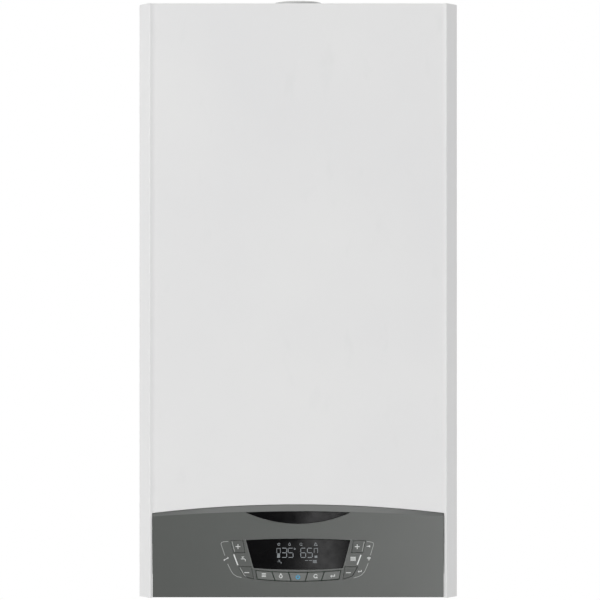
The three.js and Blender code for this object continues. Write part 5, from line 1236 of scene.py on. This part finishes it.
# Each lamp's place, the point it looks at, its two sides and its power.
LAMPS = {
    "key_left": ((-2.6, -1.75, 0.55), (0, -0.25, -0.3), (1.5, 1.6), 40.5),
    "fill_right": ((2.65, -1.6, 0.2), (0, -0.25, -0.35), (1.3, 1.8), 14),
    "front_high": ((0.15, -3.0, 0.95), (0, -0.3, -0.45), (1.3, 0.8), 8),
    "low_right": ((0.82, -3.6, -0.93), (0.1, -0.3, -0.6), (0.6, 0.6), 15),
    "strip_right": ((0.06, -3.66, -0.93), (0.06, -0.3, -0.93), (0.09, 0.24), 1.15),
    "top_soft": ((0, -0.5, 1.9), (0, -0.2, 0), (1.6, 1.2), 13),
    "back_soft": ((0.6, 2.6, 0.8), (0, 0, -0.3), (1.8, 1.8), 28),
}


def lamp(name, place, aim, sides, power):
    bpy.ops.object.light_add(type="AREA", location=place)
    light = bpy.context.object
    light.name = name
    light.rotation_euler = (Vector(aim) - Vector(place)).to_track_quat("-Z", "Y").to_euler()
    light.data.shape = "RECTANGLE"
    light.data.size, light.data.size_y = sides
    light.data.energy = power


def white_to_the_eye(tree, lit, white, surface, share=None):
    """Shows plain white where the camera, a reflection or glass looks straight at it."""
    rays = tree.nodes.new("ShaderNodeLightPath")
    seen = rays.outputs["Is Camera Ray"]
    for kind in ("Is Glossy Ray", "Is Transmission Ray"):
        seen = maths(tree, "MAXIMUM", seen, rays.outputs[kind])
    if share:
        seen = maths(tree, "MULTIPLY", seen, share)
    mix = tree.nodes.new("ShaderNodeMixShader")
    for start, socket in ((seen, 0), (lit.outputs[0], 1), (white.outputs[0], 2)):
        tree.links.new(start, mix.inputs[socket])
    tree.links.new(mix.outputs[0], surface.inputs["Surface"])


def studio_world():
    world = bpy.data.worlds.new("studio")
    bpy.context.scene.world = world
    world.use_nodes = True
    tree = world.node_tree
    soft, white = tree.nodes["Background"], tree.nodes.new("ShaderNodeBackground")
    for node, colour, strength in ((soft, WORLD_TINT, WORLD_LIGHT), (white, WHITE, 1)):
        node.inputs["Color"].default_value = colour
        node.inputs["Strength"].default_value = strength
    white_to_the_eye(tree, soft, white, tree.nodes["World Output"])


def floor():
    """A round pale floor well under the hanging object, fading to the white backdrop."""
    bpy.ops.mesh.primitive_circle_add(vertices=64, radius=FLOOR_RADIUS, fill_type="NGON",
                                      location=FLOOR_CENTRE)
    ground = settle(bpy.context.object)
    ground.name = "floor"
    f = Finish("floor_paint", 0.9)
    colour = f.blend(f.noise(2, 4), (238, 238, 237), (246, 246, 245))
    reach = f.add("ShaderNodeVectorMath", operation="LENGTH")
    f.link(f.place, reach.inputs[0])
    fade = f.spread(reach.outputs["Value"], since=(FADE_START, FLOOR_RADIUS))
    f.raise_by(f.noise(60, 3), 0.05)
    f.finished(colour, (0.8, 0.95), 5, 3)
    white_to_the_eye(f.tree, f.shader, f.add("ShaderNodeEmission"), f.tree.nodes["Material Output"], fade)
    ground.data.materials.append(f.material)


def camera():
    """Straight at the front, level with the casing's middle."""
    bpy.ops.object.camera_add(location=EYE, rotation=(pi / 2, 0, 0))
    eye = bpy.context.object
    eye.data.sensor_width = SENSOR
    eye.data.lens = FOCAL
    eye.data.clip_end = FAR
    bpy.context.scene.camera = eye


camera()
studio_world()
floor()
for name, settings in LAMPS.items():
    lamp(name, *settings)
bpy.context.scene.view_settings.view_transform = "Standard"
